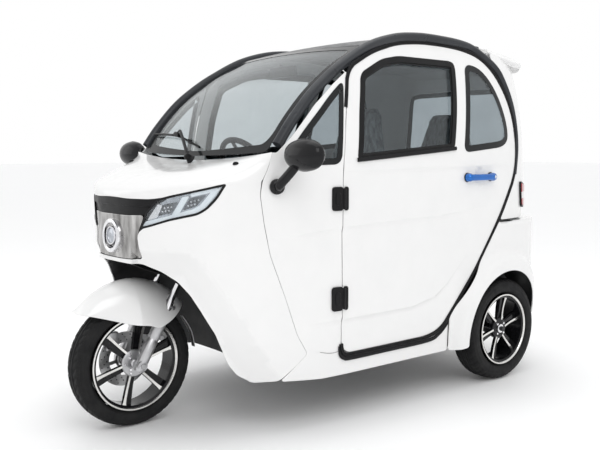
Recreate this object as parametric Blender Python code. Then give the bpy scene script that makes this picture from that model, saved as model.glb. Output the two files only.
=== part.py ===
"""Enclosed three-wheel cabin scooter: one steered front wheel, two rear wheels, two doors, tandem seats.

Metres, +Z up, the front faces -Y, the scooter's left is +X. Stations (y) are measured rearwards from the
front axle while the pieces are made; at the end everything is moved so that the origin is on the ground
under the middle of the length.
"""
import math

import bmesh
import bpy
from mathutils import Vector
from mathutils.geometry import delaunay_2d_cdt

# ---- driving dimensions --------------------------------------------------------------------------
MID_STATION = 0.9240        # station of the middle of the overall length
BODY_HALF_WIDTH = 0.563     # widest half width of the painted body
NOSE_STATION = -0.070       # foremost station of the nose
FRONT_ARC_START = 0.800     # the plan outline is straight between the two arc starts
REAR_ARC_START = 1.300
TAIL_STATION = 2.070
FRONT_POWER = 2.5           # superellipse powers of the nose and tail plan arcs
REAR_POWER = 4.0
BELT_CENTRE_Z = 1.020       # height where the sides stand upright
SIDE_RADIUS = 1.600         # arc of the sides and windows above that height
SILL_Z = 0.420              # below this the sides tuck in
SHELL = 0.004               # thickness of the moulded shells
GAP = 0.004                 # gap between neighbouring body panels

RAKE = math.radians(29.8)   # fork rake from vertical
FRONT_TYRE_R = 0.256
FRONT_TYRE_HALF = 0.052
FRONT_RIM_R = 0.191
REAR_AXLE_STATION = 1.703
REAR_TYRE_R = 0.246
REAR_TYRE_HALF = 0.066
REAR_RIM_R = 0.171
REAR_WHEEL_X = 0.505
FORK_HALF = 0.085           # half distance between the fork legs
STEER_OFFSET = 0.030        # steering axis behind the fork legs
COLUMN_TOP = Vector((0.0, 0.600, 1.015))
COLUMN_FOOT = Vector((0.0, 0.352, 0.8545))
DOOR_HINGE = (0.572, 0.640)  # x and station of the upright door hinge axis
WINDOW_X = 0.549            # x of the drop glass outer face at the height where it is upright
HOOD_TOP = 1.300            # end of the nose surface's flat domain, at the windscreen base
PLAN_SCALE = 0.55           # turns plan angles into something close to a length
TAIL_LOW_POWER = 5.5        # squarer plan arc of the rear bumper and fenders
LEDGE_Z = 0.768             # height of the ledge on top of the rear bumper and fenders
WIPER_PIVOT = Vector((0.070, 0.252, 1.0725))
WIPER_AXIS = Vector((-0.040, -0.788, 0.615))
WIPER_PATH = [(0.062, 0.246, 1.085), (0.020, 0.262, 1.112), (-0.131, 0.328, 1.190), (-0.190, 0.350, 1.183)]
BLADE_PATH = [(-0.440, 0.386, 1.183), (-0.205, 0.358, 1.172), (0.020, 0.327, 1.123)]

WHITE, BLACK, DARK, SILVER = (0.9, 0.9, 0.9), (0.015, 0.015, 0.017), (0.06, 0.065, 0.07), (0.62, 0.62, 0.63)
PALETTE = {
    "white_paint": (WHITE, 0.2, 0.0), "black_plastic": (BLACK, 0.4, 0.0), "dark_trim": (DARK, 0.6, 0.0),
    "black_paint": (BLACK, 0.2, 0.3), "silver_alloy": (SILVER, 0.35, 0.9), "chrome": ((0.75, 0.75, 0.76), 0.1, 1.0),
    "smoked_chrome": ((0.3, 0.3, 0.3), 0.12, 0.9), "tyre_rubber": ((0.02, 0.02, 0.02), 0.8, 0.0),
    "clear_glass": ((0.8, 0.85, 0.85), 0.05, 0.0), "blue_metal": ((0.01, 0.1, 0.4), 0.3, 0.8),
    "seat_vinyl": ((0.16, 0.18, 0.19), 0.6, 0.0), "red_lens": ((0.35, 0.02, 0.03), 0.15, 0.0),
    "frame_steel": ((0.04, 0.04, 0.045), 0.5, 0.5), "steel": ((0.5, 0.5, 0.5), 0.4, 0.9),
    "lamp_lens": ((0.75, 0.78, 0.8), 0.08, 0.1),
}


# ---- scene and mesh helpers ----------------------------------------------------------------------
def clear_scene():
    for obj in list(bpy.data.objects):
        bpy.data.objects.remove(obj, do_unlink=True)


def material(name):
    if name in bpy.data.materials:
        return bpy.data.materials[name]
    colour, roughness, metallic = PALETTE[name]
    made = bpy.data.materials.new(name)
    made.use_nodes = True
    shader = made.node_tree.nodes["Principled BSDF"]
    shader.inputs["Base Color"].default_value = (*colour, 1.0)
    shader.inputs["Roughness"].default_value = roughness
    shader.inputs["Metallic"].default_value = metallic
    return made


def mesh_object(name, verts, faces, material_name):
    """A new object from vertices and faces, shaded smooth with sharp edges kept."""
    mesh = bpy.data.meshes.new(name)
    mesh.from_pydata([tuple(v) for v in verts], [], faces)
    mesh.validate()
    mesh.shade_smooth()
    mesh.set_sharp_from_angle(angle=math.radians(35))
    mesh.materials.append(material(material_name))
    obj = bpy.data.objects.new(name, mesh)
    bpy.context.scene.collection.objects.link(obj)
    return obj


def mirrored(obj, name):
    """The same piece for the right side."""
    verts = [(-v.co.x, v.co.y, v.co.z) for v in obj.data.vertices]
    faces = [tuple(reversed(p.vertices)) for p in obj.data.polygons]
    return mesh_object(name, verts, faces, obj.data.materials[0].name)


def both_sides(stem, build):
    """Builds the left piece with build(name), and its mirror image for the right."""
    left = build("left_" + stem)
    return left, mirrored(left, "right_" + stem)


def baked(obj):
    """Applies the object's modifiers."""
    graph = bpy.context.evaluated_depsgraph_get()
    mesh = bpy.data.meshes.new_from_object(obj.evaluated_get(graph))
    obj.modifiers.clear()
    obj.data = mesh
    return obj


def combine(obj, others, operation):
    """Joins or cuts obj with each of the other solids, which are used up."""
    for other in others:
        step = obj.modifiers.new(operation, "BOOLEAN")
        step.operation = operation
        step.solver = "EXACT"
        step.object = other
        baked(obj)
        bpy.data.objects.remove(other, do_unlink=True)
    return obj


def box(name, low, high, material_name):
    x0, y0, z0 = low
    x1, y1, z1 = high
    verts = [(x0, y0, z0), (x1, y0, z0), (x1, y1, z0), (x0, y1, z0),
             (x0, y0, z1), (x1, y0, z1), (x1, y1, z1), (x0, y1, z1)]
    faces = [(3, 2, 1, 0), (4, 5, 6, 7), (0, 1, 5, 4), (1, 2, 6, 5), (2, 3, 7, 6), (3, 0, 4, 7)]
    return mesh_object(name, verts, faces, material_name)


def prism(name, outline, low_x, high_x, material_name):
    """A solid with a (station, z) outline, from low_x to high_x."""
    area = sum(a[0] * b[1] - b[0] * a[1] for a, b in zip(outline, outline[1:] + outline[:1]))
    points = outline if area > 0 else outline[::-1]
    count = len(points)
    verts = [(high_x, y, z) for y, z in points] + [(low_x, y, z) for y, z in points]
    faces = [tuple(range(count)), tuple(range(2 * count - 1, count - 1, -1))]
    faces += [(i, i + count, (i + 1) % count + count, (i + 1) % count) for i in range(count)]
    return mesh_object(name, verts, faces, material_name)


def loft(name, rings, material_name):
    """A closed solid through a row of equal rings of points, with flat ends."""
    count = len(rings[0])
    verts = [point for ring in rings for point in ring]
    faces = [tuple(reversed(range(count))), tuple(range(len(verts) - count, len(verts)))]
    for row in range(len(rings) - 1):
        for i in range(count):
            j = (i + 1) % count
            faces.append((row * count + i, row * count + j, row * count + count + j, row * count + count + i))
    obj = mesh_object(name, verts, faces, material_name)
    tool = bmesh.new()
    tool.from_mesh(obj.data)
    bmesh.ops.recalc_face_normals(tool, faces=tool.faces)
    tool.to_mesh(obj.data)
    tool.free()
    return obj


def rod(name, start, end, radius, material_name, sides=12, end_radius=None):
    """A round bar between two points."""
    start, end = Vector(start), Vector(end)
    along = (end - start).normalized()
    across = along.orthogonal().normalized()
    up = along.cross(across)
    rings = []
    for centre, size in ((start, radius), (end, end_radius or radius)):
        turns = [2 * math.pi * (i + 0.5) / sides for i in range(sides)]
        rings.append([centre + size * (math.cos(t) * across + math.sin(t) * up) for t in turns])
    return loft(name, rings, material_name)


def sweep(name, path, half_width, half_height, material_name, side=Vector((1, 0, 0))):
    """A bar of eight-sided section along a path of points; sizes may be lists, one for each point."""
    widths = half_width if isinstance(half_width, list) else [half_width] * len(path)
    heights = half_height if isinstance(half_height, list) else [half_height] * len(path)
    rings = []
    for i, point in enumerate(path):
        tangent = (Vector(path[min(i + 1, len(path) - 1)]) - Vector(path[max(i - 1, 0)])).normalized()
        up = tangent.cross(side).normalized()
        out = up.cross(tangent).normalized()
        ring = []
        for a, b in ((1, .5), (.5, 1), (-.5, 1), (-1, .5), (-1, -.5), (-.5, -1), (.5, -1), (1, -.5)):
            ring.append(Vector(point) + out * a * widths[i] + up * b * heights[i])
        rings.append(ring)
    return loft(name, rings, material_name)


def lathe(name, profile, centre, material_name, steps=24):
    """A closed (x, radius) profile turned about an axis along X through centre."""
    count = len(profile)
    verts, faces = [], []
    for step in range(steps):
        turn = 2 * math.pi * step / steps
        verts += [(centre[0] + x, centre[1] + r * math.cos(turn), centre[2] + r * math.sin(turn)) for x, r in profile]
    for step in range(steps):
        here, there = step * count, ((step + 1) % steps) * count
        faces += [(here + i, there + i, there + (i + 1) % count, here + (i + 1) % count) for i in range(count)]
    obj = mesh_object(name, verts, faces, material_name)
    tool = bmesh.new()
    tool.from_mesh(obj.data)
    bmesh.ops.recalc_face_normals(tool, faces=tool.faces)
    tool.to_mesh(obj.data)
    tool.free()
    return obj


# ---- flat-domain panels --------------------------------------------------------------------------
def spaced(points, spacing, closed=True):
    """Adds points along a polyline so that no stretch is longer than the spacing."""
    result = []
    ends = points[1:] + points[:1] if closed else points[1:]
    for a, b in zip(points, ends):
        a, b = Vector(a), Vector(b)
        parts = max(1, math.ceil((b - a).length / spacing))
        result += [a.lerp(b, i / parts) for i in range(parts)]
    return result if closed else result + [Vector(points[-1])]


def inside(point, outline):
    hit = False
    for a, b in zip(outline, outline[1:] + outline[:1]):
        if (a[1] > point[1]) != (b[1] > point[1]):
            if point[0] < (b[0] - a[0]) * (point[1] - a[1]) / (b[1] - a[1]) + a[0]:
                hit = not hit
    return hit


def distance_to(point, outline, closed=True):
    best = 1e9
    point = Vector(point)
    for a, b in zip(outline, outline[1:] + outline[:1] if closed else outline[1:]):
        a, b = Vector(a), Vector(b)
        run = b - a
        part = max(0.0, min(1.0, (point - a).dot(run) / max(run.length_squared, 1e-12)))
        best = min(best, (a + part * run - point).length)
    return best


def offset_outline(points, amount):
    """Moves a closed outline outwards by amount, or inwards when it is negative."""
    area = sum(a[0] * b[1] - b[0] * a[1] for a, b in zip(points, points[1:] + points[:1]))
    turn = 1 if area > 0 else -1
    moved = []
    for before, here, after in zip(points[-1:] + points[:-1], points, points[1:] + points[:1]):
        first = (Vector(here) - Vector(before)).normalized()
        second = (Vector(after) - Vector(here)).normalized()
        normal = Vector((first.y + second.y, -first.x - second.x)) * turn
        normal.normalize()
        lean = max(0.4, abs(normal.dot(Vector((first.y, -first.x)))))
        moved.append(tuple(Vector(here) + normal * amount / lean))
    return moved


def tessellate(outline, holes, folds, spacing):
    """Triangles that fill an outline in the flat domain, around its holes, with edges along the folds."""
    rings = [spaced(ring, spacing) for ring in [outline, *holes]]
    lines = [spaced(line, spacing, closed=False) for line in folds]
    points, edges = [], []
    for ring in rings:
        first = len(points)
        points += ring
        edges += [(first + i, first + (i + 1) % len(ring)) for i in range(len(ring))]
    for line in lines:
        first = len(points)
        points += line
        edges += [(first + i, first + i + 1) for i in range(len(line) - 1)]
    low = [min(p[k] for p in rings[0]) for k in (0, 1)]
    high = [max(p[k] for p in rings[0]) for k in (0, 1)]
    row = 0
    y = low[1] + spacing / 2
    while y < high[1]:
        x = low[0] + spacing * (0.25 if row % 2 else 0.75)
        while x < high[0]:
            clear = all(distance_to((x, y), ring) > spacing * 0.55 for ring in rings)
            clear = clear and all(distance_to((x, y), line, False) > spacing * 0.5 for line in lines)
            if clear and inside((x, y), rings[0]):
                points.append(Vector((x, y)))
            x += spacing
        y += spacing * 0.87
        row += 1
    verts, _, faces, _, _, _ = delaunay_2d_cdt(points, edges, [], 0, 1e-6)
    kept = []
    for face in faces:
        first, second, third = (verts[i] for i in face)
        if abs((second - first).cross(third - first)) < 1e-9:
            continue
        centre = (first + second + third) / 3
        if inside(centre, rings[0]) and not any(inside(centre, ring) for ring in rings[1:]):
            kept.append(tuple(face))
    return verts, kept


def surface_normal(surface, u, v):
    step = 1e-4
    du = surface(u + step, v) - surface(u - step, v)
    dv = surface(u, v + step) - surface(u, v - step)
    return du.cross(dv).normalized()


def panel(name, surface, outline, material_name, holes=(), folds=(), spacing=0.12, thickness=SHELL, depth=0.0):
    """A shell on surface(u, v), depth behind it, that fills an outline of the flat domain."""
    flat, triangles = tessellate([tuple(p) for p in outline], [list(h) for h in holes], folds, spacing)
    front, back = [], []
    for u, v in flat:
        normal = surface_normal(surface, u, v)
        front.append(surface(u, v) - depth * normal)
        back.append(surface(u, v) - (depth + thickness) * normal)
    used = sorted({i for t in triangles for i in t})
    number = {old: new for new, old in enumerate(used)}
    verts = [front[i] for i in used] + [back[i] for i in used]
    count = len(used)
    triangles = [tuple(number[i] for i in t) for t in triangles]
    faces = list(triangles) + [tuple(i + count for i in reversed(t)) for t in triangles]
    edges = {}
    for t in triangles:
        for a, b in zip(t, t[1:] + t[:1]):
            edges[(a, b)] = True
    for a, b in edges:
        if (b, a) not in edges:
            faces.append((b, a, a + count, b + count))
    return mesh_object(name, verts, faces, material_name)


# ---- the body's surfaces -------------------------------------------------------------------------
def lean(z):
    """How far the sides lean in at height z."""
    above = max(0.0, z - BELT_CENTRE_Z)
    below = max(0.0, SILL_Z - z)
    return SIDE_RADIUS - math.sqrt(SIDE_RADIUS ** 2 - above ** 2) + 0.16 * below ** 1.5


def half_width(y):
    """Half width of the plan outline at station y."""
    if y < FRONT_ARC_START:
        part, power = (FRONT_ARC_START - y) / (FRONT_ARC_START - NOSE_STATION), FRONT_POWER
    elif y > REAR_ARC_START:
        part, power = (y - REAR_ARC_START) / (TAIL_STATION - REAR_ARC_START), REAR_POWER
    else:
        return BODY_HALF_WIDTH
    return BODY_HALF_WIDTH * max(0.0, 1.0 - min(part, 1.0) ** power) ** (1.0 / power)


def station_of(x):
    """Station on the nose's plan outline where its half width is x."""
    rest = max(0.0, 1.0 - (x / BODY_HALF_WIDTH) ** FRONT_POWER)
    return FRONT_ARC_START - (FRONT_ARC_START - NOSE_STATION) * rest ** (1.0 / FRONT_POWER)


def side(y, z):
    """The left side of the body."""
    return Vector((half_width(y) - lean(z), y, z))


def nose_angle(x):
    """Plan parameter of the nose wall where its half width is x; negative on the right."""
    return math.copysign(math.asin((abs(x) / BODY_HALF_WIDTH) ** (FRONT_POWER / 2)), x) * PLAN_SCALE


def on_nose(points):
    """Turns (half width, height) points into the nose's flat domain."""
    return [(nose_angle(x), z) for x, z in points]


def plan_arc(angle, power, reach):
    """Across, -1 to 1, and reach of a superellipse arc at a plan angle."""
    across = math.copysign(abs(math.sin(angle)) ** (2 / power), angle)
    return across, reach * abs(math.cos(angle)) ** (2 / power)


def hood_edge(across):
    """Height of the edge between the nose wall and the hood."""
    return 0.940 + 0.065 * abs(across) ** 1.6


def arch_tuck(u, z):
    """How far the flare between the crease and the arch edge turns in."""
    crease = on_nose(ARCH_CREASE)
    for (u0, z0), (u1, z1) in zip(crease, crease[1:]):
        if u0 <= abs(u) <= u1:
            limit = z0 + (z1 - z0) * (abs(u) - u0) / (u1 - u0)
            return 0.55 * min(0.10, distance_to((abs(u), z), crease, False)) if z < limit else 0.0
    return 0.0


def nose(u, w):
    """The nose wall below the hood edge, and the hood above it up to w = HOOD_TOP."""
    across, reach = plan_arc(u / PLAN_SCALE, FRONT_POWER, FRONT_ARC_START - NOSE_STATION)
    edge_z = hood_edge(across)
    x, y = BODY_HALF_WIDTH * across, FRONT_ARC_START - reach
    if w <= edge_z:
        tuck = arch_tuck(u, w) + lean(w)
        return Vector((x * (1 - tuck / BODY_HALF_WIDTH), y + tuck * 0.6, w))
    part = (w - edge_z) / (HOOD_TOP - edge_z)
    edge = Vector((x, y, edge_z))
    corner = Vector((x, y + 0.006, edge_z + 0.055 - 0.03 * abs(across)))
    wide = 0.572 * across
    base = Vector((wide, 0.300 + 0.12 * wide ** 2, 1.068 + 0.125 * wide ** 2))
    return (1 - part) ** 2 * edge + 2 * part * (1 - part) * corner + part ** 2 * base


def tail_table(power):
    """Rows of (length from the middle, x, y, normal x, normal y) along a tail's plan outline."""
    corner = 0.5 ** (1 / power)
    shares = [corner * i / 200 for i in range(201)]
    pairs = [(a, (1 - a ** power) ** (1 / power)) for a in shares]
    pairs += [(b, a) for a, b in reversed(pairs[:-1])]
    reach = TAIL_STATION - REAR_ARC_START
    rows, length = [], 0.0
    for a, b in pairs:
        x, y = BODY_HALF_WIDTH * a, REAR_ARC_START + reach * b
        if rows:
            length += math.hypot(x - rows[-1][1], y - rows[-1][2])
        normal = Vector((a ** (power - 1) / BODY_HALF_WIDTH, b ** (power - 1) / reach)).normalized()
        rows.append((length, x, y, normal.x, normal.y))
    return rows


def on_table(rows, column, value):
    """Interpolated row where a column that only rises or only falls has the given value."""
    sign = 1 if rows[-1][column] > rows[0][column] else -1
    low, high = 0, len(rows) - 1
    while high - low > 1:
        middle = (low + high) // 2
        if (rows[middle][column] - value) * sign <= 0:
            low = middle
        else:
            high = middle
    first, last = rows[low], rows[high]
    part = max(0.0, min(1.0, (value - first[column]) / (last[column] - first[column])))
    return [a + (b - a) * part for a, b in zip(first, last)]


TAIL_ROWS = {power: tail_table(power) for power in (REAR_POWER, TAIL_LOW_POWER)}


def upper_tail(u, z):
    """The cabin's rear; u is the length along the plan outline from the middle of the back."""
    _, x, y, normal_x, normal_y = on_table(TAIL_ROWS[REAR_POWER], 0, abs(u))
    return Vector((math.copysign(x - lean(z) * normal_x, u), y - 0.6 * lean(z) * normal_y, z))


def fender_bulge(y, z):
    """How far the rear fenders stand out of the body around the wheel."""
    radius = math.hypot(y - REAR_AXLE_STATION, z - REAR_TYRE_R)
    part = max(0.0, min(1.0, (radius - 0.335) / 0.06))
    return 0.036 * (1.0 - part * part * (3 - 2 * part))


def lower_tail(u, z):
    """The rear bumper and both rear fenders, one moulding, with a ledge turned in above LEDGE_Z."""
    _, x, y, normal_x, normal_y = on_table(TAIL_ROWS[TAIL_LOW_POWER], 0, abs(u))
    y += 0.030 * (y - REAR_ARC_START) / (TAIL_STATION - REAR_ARC_START)
    out = 0.004 - lean(z) + fender_bulge(y, z) * (x / BODY_HALF_WIDTH) ** 3
    inward = max(0.0, z - LEDGE_Z)
    x, y = x + (out - inward) * normal_x, y - inward * normal_y
    return Vector((math.copysign(x, u), y, min(z, LEDGE_Z + 0.03 * inward)))


def on_tail(points, surface):
    """Turns (station, height) points into a tail surface's flat domain."""
    moved = []
    for station, z in points:
        low, high = 0.0, 1.33
        for _ in range(24):
            middle = (low + high) / 2
            if surface(middle, z).y > station:
                low = middle
            else:
                high = middle
        moved.append((middle, z))
    return moved


def along(points, part):
    """The point at part, 0 to 1, along a list of points."""
    spot = max(0.0, min(len(points) - 1.000001, part * (len(points) - 1)))
    first = int(spot)
    return Vector(points[first]).lerp(Vector(points[first + 1]), spot - first)


def screen(u, v):
    """The windscreen: u across, -1 to 1, and v up, 0 to 1."""
    edge = along(SCREEN_EDGE, v)
    centre = along(SCREEN_CENTRE, v)
    mixed = centre.lerp(Vector((0, edge.y, edge.z)), min(1.0, u * u))
    return Vector((u * edge.x, mixed.y, mixed.z))


def roof(x, y):
    """The roof panel: low at the windscreen, at the rails and at the spoiler."""
    crest = 1.622 - 0.42 * max(0.0, 1.27 - y) ** 2 - 0.19 * max(0.0, y - 1.45) ** 2
    return Vector((x, y, crest - 0.075 * x * x))


def drop_glass(y, z):
    """The left drop glass, part of a drum about an axis along Y, so that it can turn down into the door."""
    return Vector((WINDOW_X - SIDE_RADIUS + math.sqrt(SIDE_RADIUS ** 2 - (z - BELT_CENTRE_Z) ** 2), y, z))


def door_trim(y, z):
    """The door's inner panel, dished away from the shell to leave room for the glass."""
    tall = [(y_, z_ if z_ < 1.0 else 1.3) for y_, z_ in DOOR_TRIM]
    part = min(1.0, distance_to((y, z), tall) / 0.06)
    return side(y, z) - Vector((0.010 + 0.050 * part * part * (3 - 2 * part), 0, 0))


def wheel_well(u, v):
    """The liner over the front wheel: u across, -1 to 1, and v from the nose lip down to the floor."""
    centre, edge = along(LINER_CENTRE, v), along(LINER_EDGE, v)
    mixed = centre.lerp(Vector((0, edge.y, edge.z)), abs(u) ** 3)
    return Vector((u * edge.x, mixed.y, mixed.z))


def front_fender_skin(turn, v):
    """The front fender: turn is the angle behind the top of the wheel, v is across, -1 to 1."""
    depth = 0.175 * (1 - abs(turn - 0.2) ** 3)
    lateral = 0.050 + 0.068 * min(1.0, max(0.0, (turn + 0.80) / 0.75)) ** 0.7
    radius = 0.337 - 0.028 * turn * turn - depth * (1 - math.cos(v * math.pi / 2))
    across = lateral * math.sin(v * math.pi / 2)
    return Vector((across, radius * math.sin(turn), FRONT_TYRE_R + radius * math.cos(turn)))


# ---- outlines ------------------------------------------------------------------------------------
# (half width, height) on the nose
ARCH_CREASE = [(0.150, 0.733), (0.289, 0.734), (0.364, 0.728), (0.400, 0.684), (0.450, 0.550),
               (0.490, 0.372), (0.530, 0.190)]
ARCH_EDGE = [(0.182, 0.674), (0.256, 0.651), (0.319, 0.611), (0.356, 0.562), (0.383, 0.504), (0.419, 0.409),
             (0.445, 0.288), (0.461, 0.243), (0.485, 0.208)]
SEAM_TOP = [(0.505, HOOD_TOP), (0.504, 1.200), (0.502, 1.100)]
SEAM = [(0.500, 1.016), (0.497, 0.942), (0.502, 0.829), (0.509, 0.714), (0.526, 0.537), (0.536, 0.395),
        (0.544, 0.313), (0.536, 0.271), (0.519, 0.215)]
NOSE_OPENING = [(0.0, 0.930), (0.12, 0.926), (0.234, 0.927), (0.308, 0.938), (0.366, 0.955), (0.447, 0.989),
                (0.430, 0.930), (0.408, 0.890), (0.386, 0.868), (0.307, 0.846), (0.200, 0.814), (0.172, 0.790),
                (0.176, 0.755), (0.190, 0.692), (0.10, 0.688), (0.0, 0.688)]
LAMP = [(0.187, 0.810), (0.207, 0.823), (0.307, 0.852), (0.382, 0.875), (0.404, 0.898), (0.431, 0.968),
        (0.366, 0.948), (0.308, 0.931), (0.262, 0.920), (0.216, 0.872)]
NOSE_PANEL = [(0.0, 0.858), (0.10, 0.857), (0.200, 0.862), (0.172, 0.805), (0.166, 0.785), (0.170, 0.750),
              (0.184, 0.698), (0.10, 0.694), (0.0, 0.694)]
GRILLE = [(0.0, 0.924), (0.12, 0.920), (0.234, 0.921), (0.250, 0.917), (0.206, 0.868), (0.10, 0.863), (0.0, 0.864)]
# (station, height) on the body side
DOOR = [(0.655, 0.290), (0.654, 0.712), (0.656, 1.031), (0.679, 1.229), (0.725, 1.430), (0.880, 1.508),
        (1.040, 1.556), (1.190, 1.572), (1.340, 1.572), (1.479, 1.562), (1.590, 1.535), (1.675, 1.475),
        (1.752, 1.366), (1.796, 1.256), (1.814, 1.111), (1.792, 0.989), (1.662, 0.801), (1.470, 0.555),
        (1.312, 0.386), (1.250, 0.316), (1.162, 0.291)]
DOOR_TRIM = [(0.680, 0.322), (0.680, 0.712), (0.681, 1.030), (1.773, 1.030), (1.762, 0.985), (1.632, 0.800),
             (1.440, 0.560), (1.285, 0.412), (1.235, 0.348), (1.155, 0.320)]
FRONT_PANE = [(0.729, 1.062), (0.752, 1.260), (0.787, 1.420), (0.927, 1.488), (1.033, 1.508), (1.375, 1.508),
              (1.394, 1.490), (1.360, 1.300), (1.322, 1.108)]
REAR_PANE = [(1.388, 1.096), (1.425, 1.310), (1.466, 1.505), (1.561, 1.495), (1.628, 1.445), (1.680, 1.370),
             (1.720, 1.278), (1.738, 1.200), (1.730, 1.150), (1.677, 1.122)]
TRIANGLE = [(0.688, 1.392), (0.604, 1.325), (0.469, 1.187), (0.392, 1.092), (0.456, 1.048), (0.645, 1.052),
            (0.664, 1.229)]
FRAME_TOP = [(0.713, 1.425), (0.630, 1.367), (0.530, 1.283), (0.430, 1.172), (0.352, 1.096)]
LOWER_TAIL_FRONT = [(1.655, 0.772), (1.481, 0.547), (1.323, 0.377), (1.304, 0.352), (1.312, 0.200)]
UPPER_TAIL_FRONT = [(1.668, 0.780), (1.812, 0.985), (1.834, 1.111), (1.816, 1.260), (1.774, 1.376), (1.718, 1.470),
                    (1.690, 1.510), (1.690, 1.572)]
TAIL_LAMP = [(1.858, 0.958), (1.960, 0.935), (1.975, 0.905), (1.972, 0.850), (1.950, 0.822), (1.880, 0.830)]
# (x, station, height) along the roof rails and the windscreen
PILLAR = [(0.500, 0.368, 1.128), (0.500, 0.430, 1.210), (0.497, 0.530, 1.318), (0.488, 0.630, 1.398),
          (0.478, 0.726, 1.460), (0.466, 0.880, 1.540), (0.458, 1.040, 1.587), (0.455, 1.190, 1.604),
          (0.455, 1.340, 1.604), (0.453, 1.480, 1.596), (0.450, 1.580, 1.576), (0.451, 1.650, 1.545)]
SCREEN_EDGE = [(0.466, 0.345, 1.098), (0.466, 0.430, 1.215), (0.463, 0.530, 1.323), (0.454, 0.630, 1.402),
               (0.444, 0.726, 1.466), (0.432, 0.880, 1.546)]
SCREEN_CENTRE = [(0, 0.312, 1.082), (0, 0.400, 1.215), (0, 0.500, 1.330), (0, 0.610, 1.425), (0, 0.730, 1.497),
                 (0, 0.870, 1.558)]
LINER_CENTRE = [(0, -0.040, 0.668), (0, 0.100, 0.712), (0, 0.255, 0.722), (0, 0.350, 0.625), (0, 0.372, 0.450),
                (0, 0.370, 0.340), (0, 0.360, 0.262)]
LINER_EDGE = [(0.150, -0.020, 0.655), (0.250, 0.040, 0.628), (0.300, 0.080, 0.580), (0.335, 0.120, 0.510),
              (0.365, 0.170, 0.420), (0.385, 0.220, 0.330), (0.400, 0.260, 0.262)]


def whole(half):
    """A left half outline in a flat domain, closed with its mirror image."""
    return half + [(-u, z) for u, z in reversed(half) if u > 1e-6]


def arc_points(centre, radius, start, end, count):
    """Points on a (station, height) arc; angles in degrees, 0 towards the rear and 90 up."""
    turns = [math.radians(start + (end - start) * i / (count - 1)) for i in range(count)]
    return [(centre[0] + radius * math.cos(t), centre[1] + radius * math.sin(t)) for t in turns]


# ---- body pieces ---------------------------------------------------------------------------------
def front_bodywork():
    """Cowl, nose trim, lamps, side frames with their triangular panes, and the wheel-well liner."""
    rear_edge = on_nose(SEAM_TOP + SEAM)
    half = [(0.0, HOOD_TOP), (0.2, HOOD_TOP), (0.4, HOOD_TOP)] + rear_edge + on_nose(ARCH_EDGE)[::-1] + [(0.0, 0.676)]
    crease = on_nose(ARCH_CREASE[1:-1])
    folds = [crease, [(-u, z) for u, z in crease]]
    panel("front_cowl", nose, whole(half), "white_paint", holes=[whole(on_nose(NOSE_OPENING))], folds=folds,
          spacing=0.09)
    panel("nose_grille", nose, whole(on_nose(GRILLE)), "black_plastic", spacing=0.08, thickness=0.006, depth=0.006)
    panel("nose_panel", nose, whole(on_nose(NOSE_PANEL)), "smoked_chrome", spacing=0.08, thickness=0.006, depth=0.004)
    both_sides("headlamp", lambda name: panel(name, nose, on_nose(LAMP), "lamp_lens", spacing=0.07,
                                              thickness=0.010, depth=0.003))
    seam = [nose(nose_angle(x), w) for x, w in SEAM_TOP + SEAM]
    seam = [(point.y + GAP, point.z) for point in seam]
    sill = [(0.560, 0.200), (1.306, 0.200), (1.297, 0.330), (1.294, 0.346)]
    door_edge = [(1.262, 0.309), (1.168, 0.280), (0.649, 0.279), (0.648, 0.712), (0.650, 1.031), (0.673, 1.229)]
    outline = seam + sill + door_edge + FRAME_TOP
    both_sides("side_frame", lambda name: panel(name, side, outline, "white_paint", holes=[TRIANGLE], spacing=0.14))
    both_sides("quarter_window", lambda name: panel(name, side, offset_outline(TRIANGLE, -0.003), "clear_glass",
                                                    spacing=0.14))
    hole = [(0.16 * math.cos(t), 0.395 + 0.075 * math.sin(t)) for t in (2 * math.pi * i / 10 for i in range(10))]
    corners = [(-1, 0.0), (1, 0.0), (1, 1.0), (-1, 1.0)]
    folds = [[(-0.95, v), (0.95, v)] for v in (1 / 6, 3 / 6)]
    folds += [[(sign * 0.25, 2 / 6), (sign * 0.95, 2 / 6)] for sign in (-1, 1)]
    panel("wheel_well_liner", wheel_well, corners, "black_plastic", holes=[hole], folds=folds, spacing=0.30,
          thickness=0.003)


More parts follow.
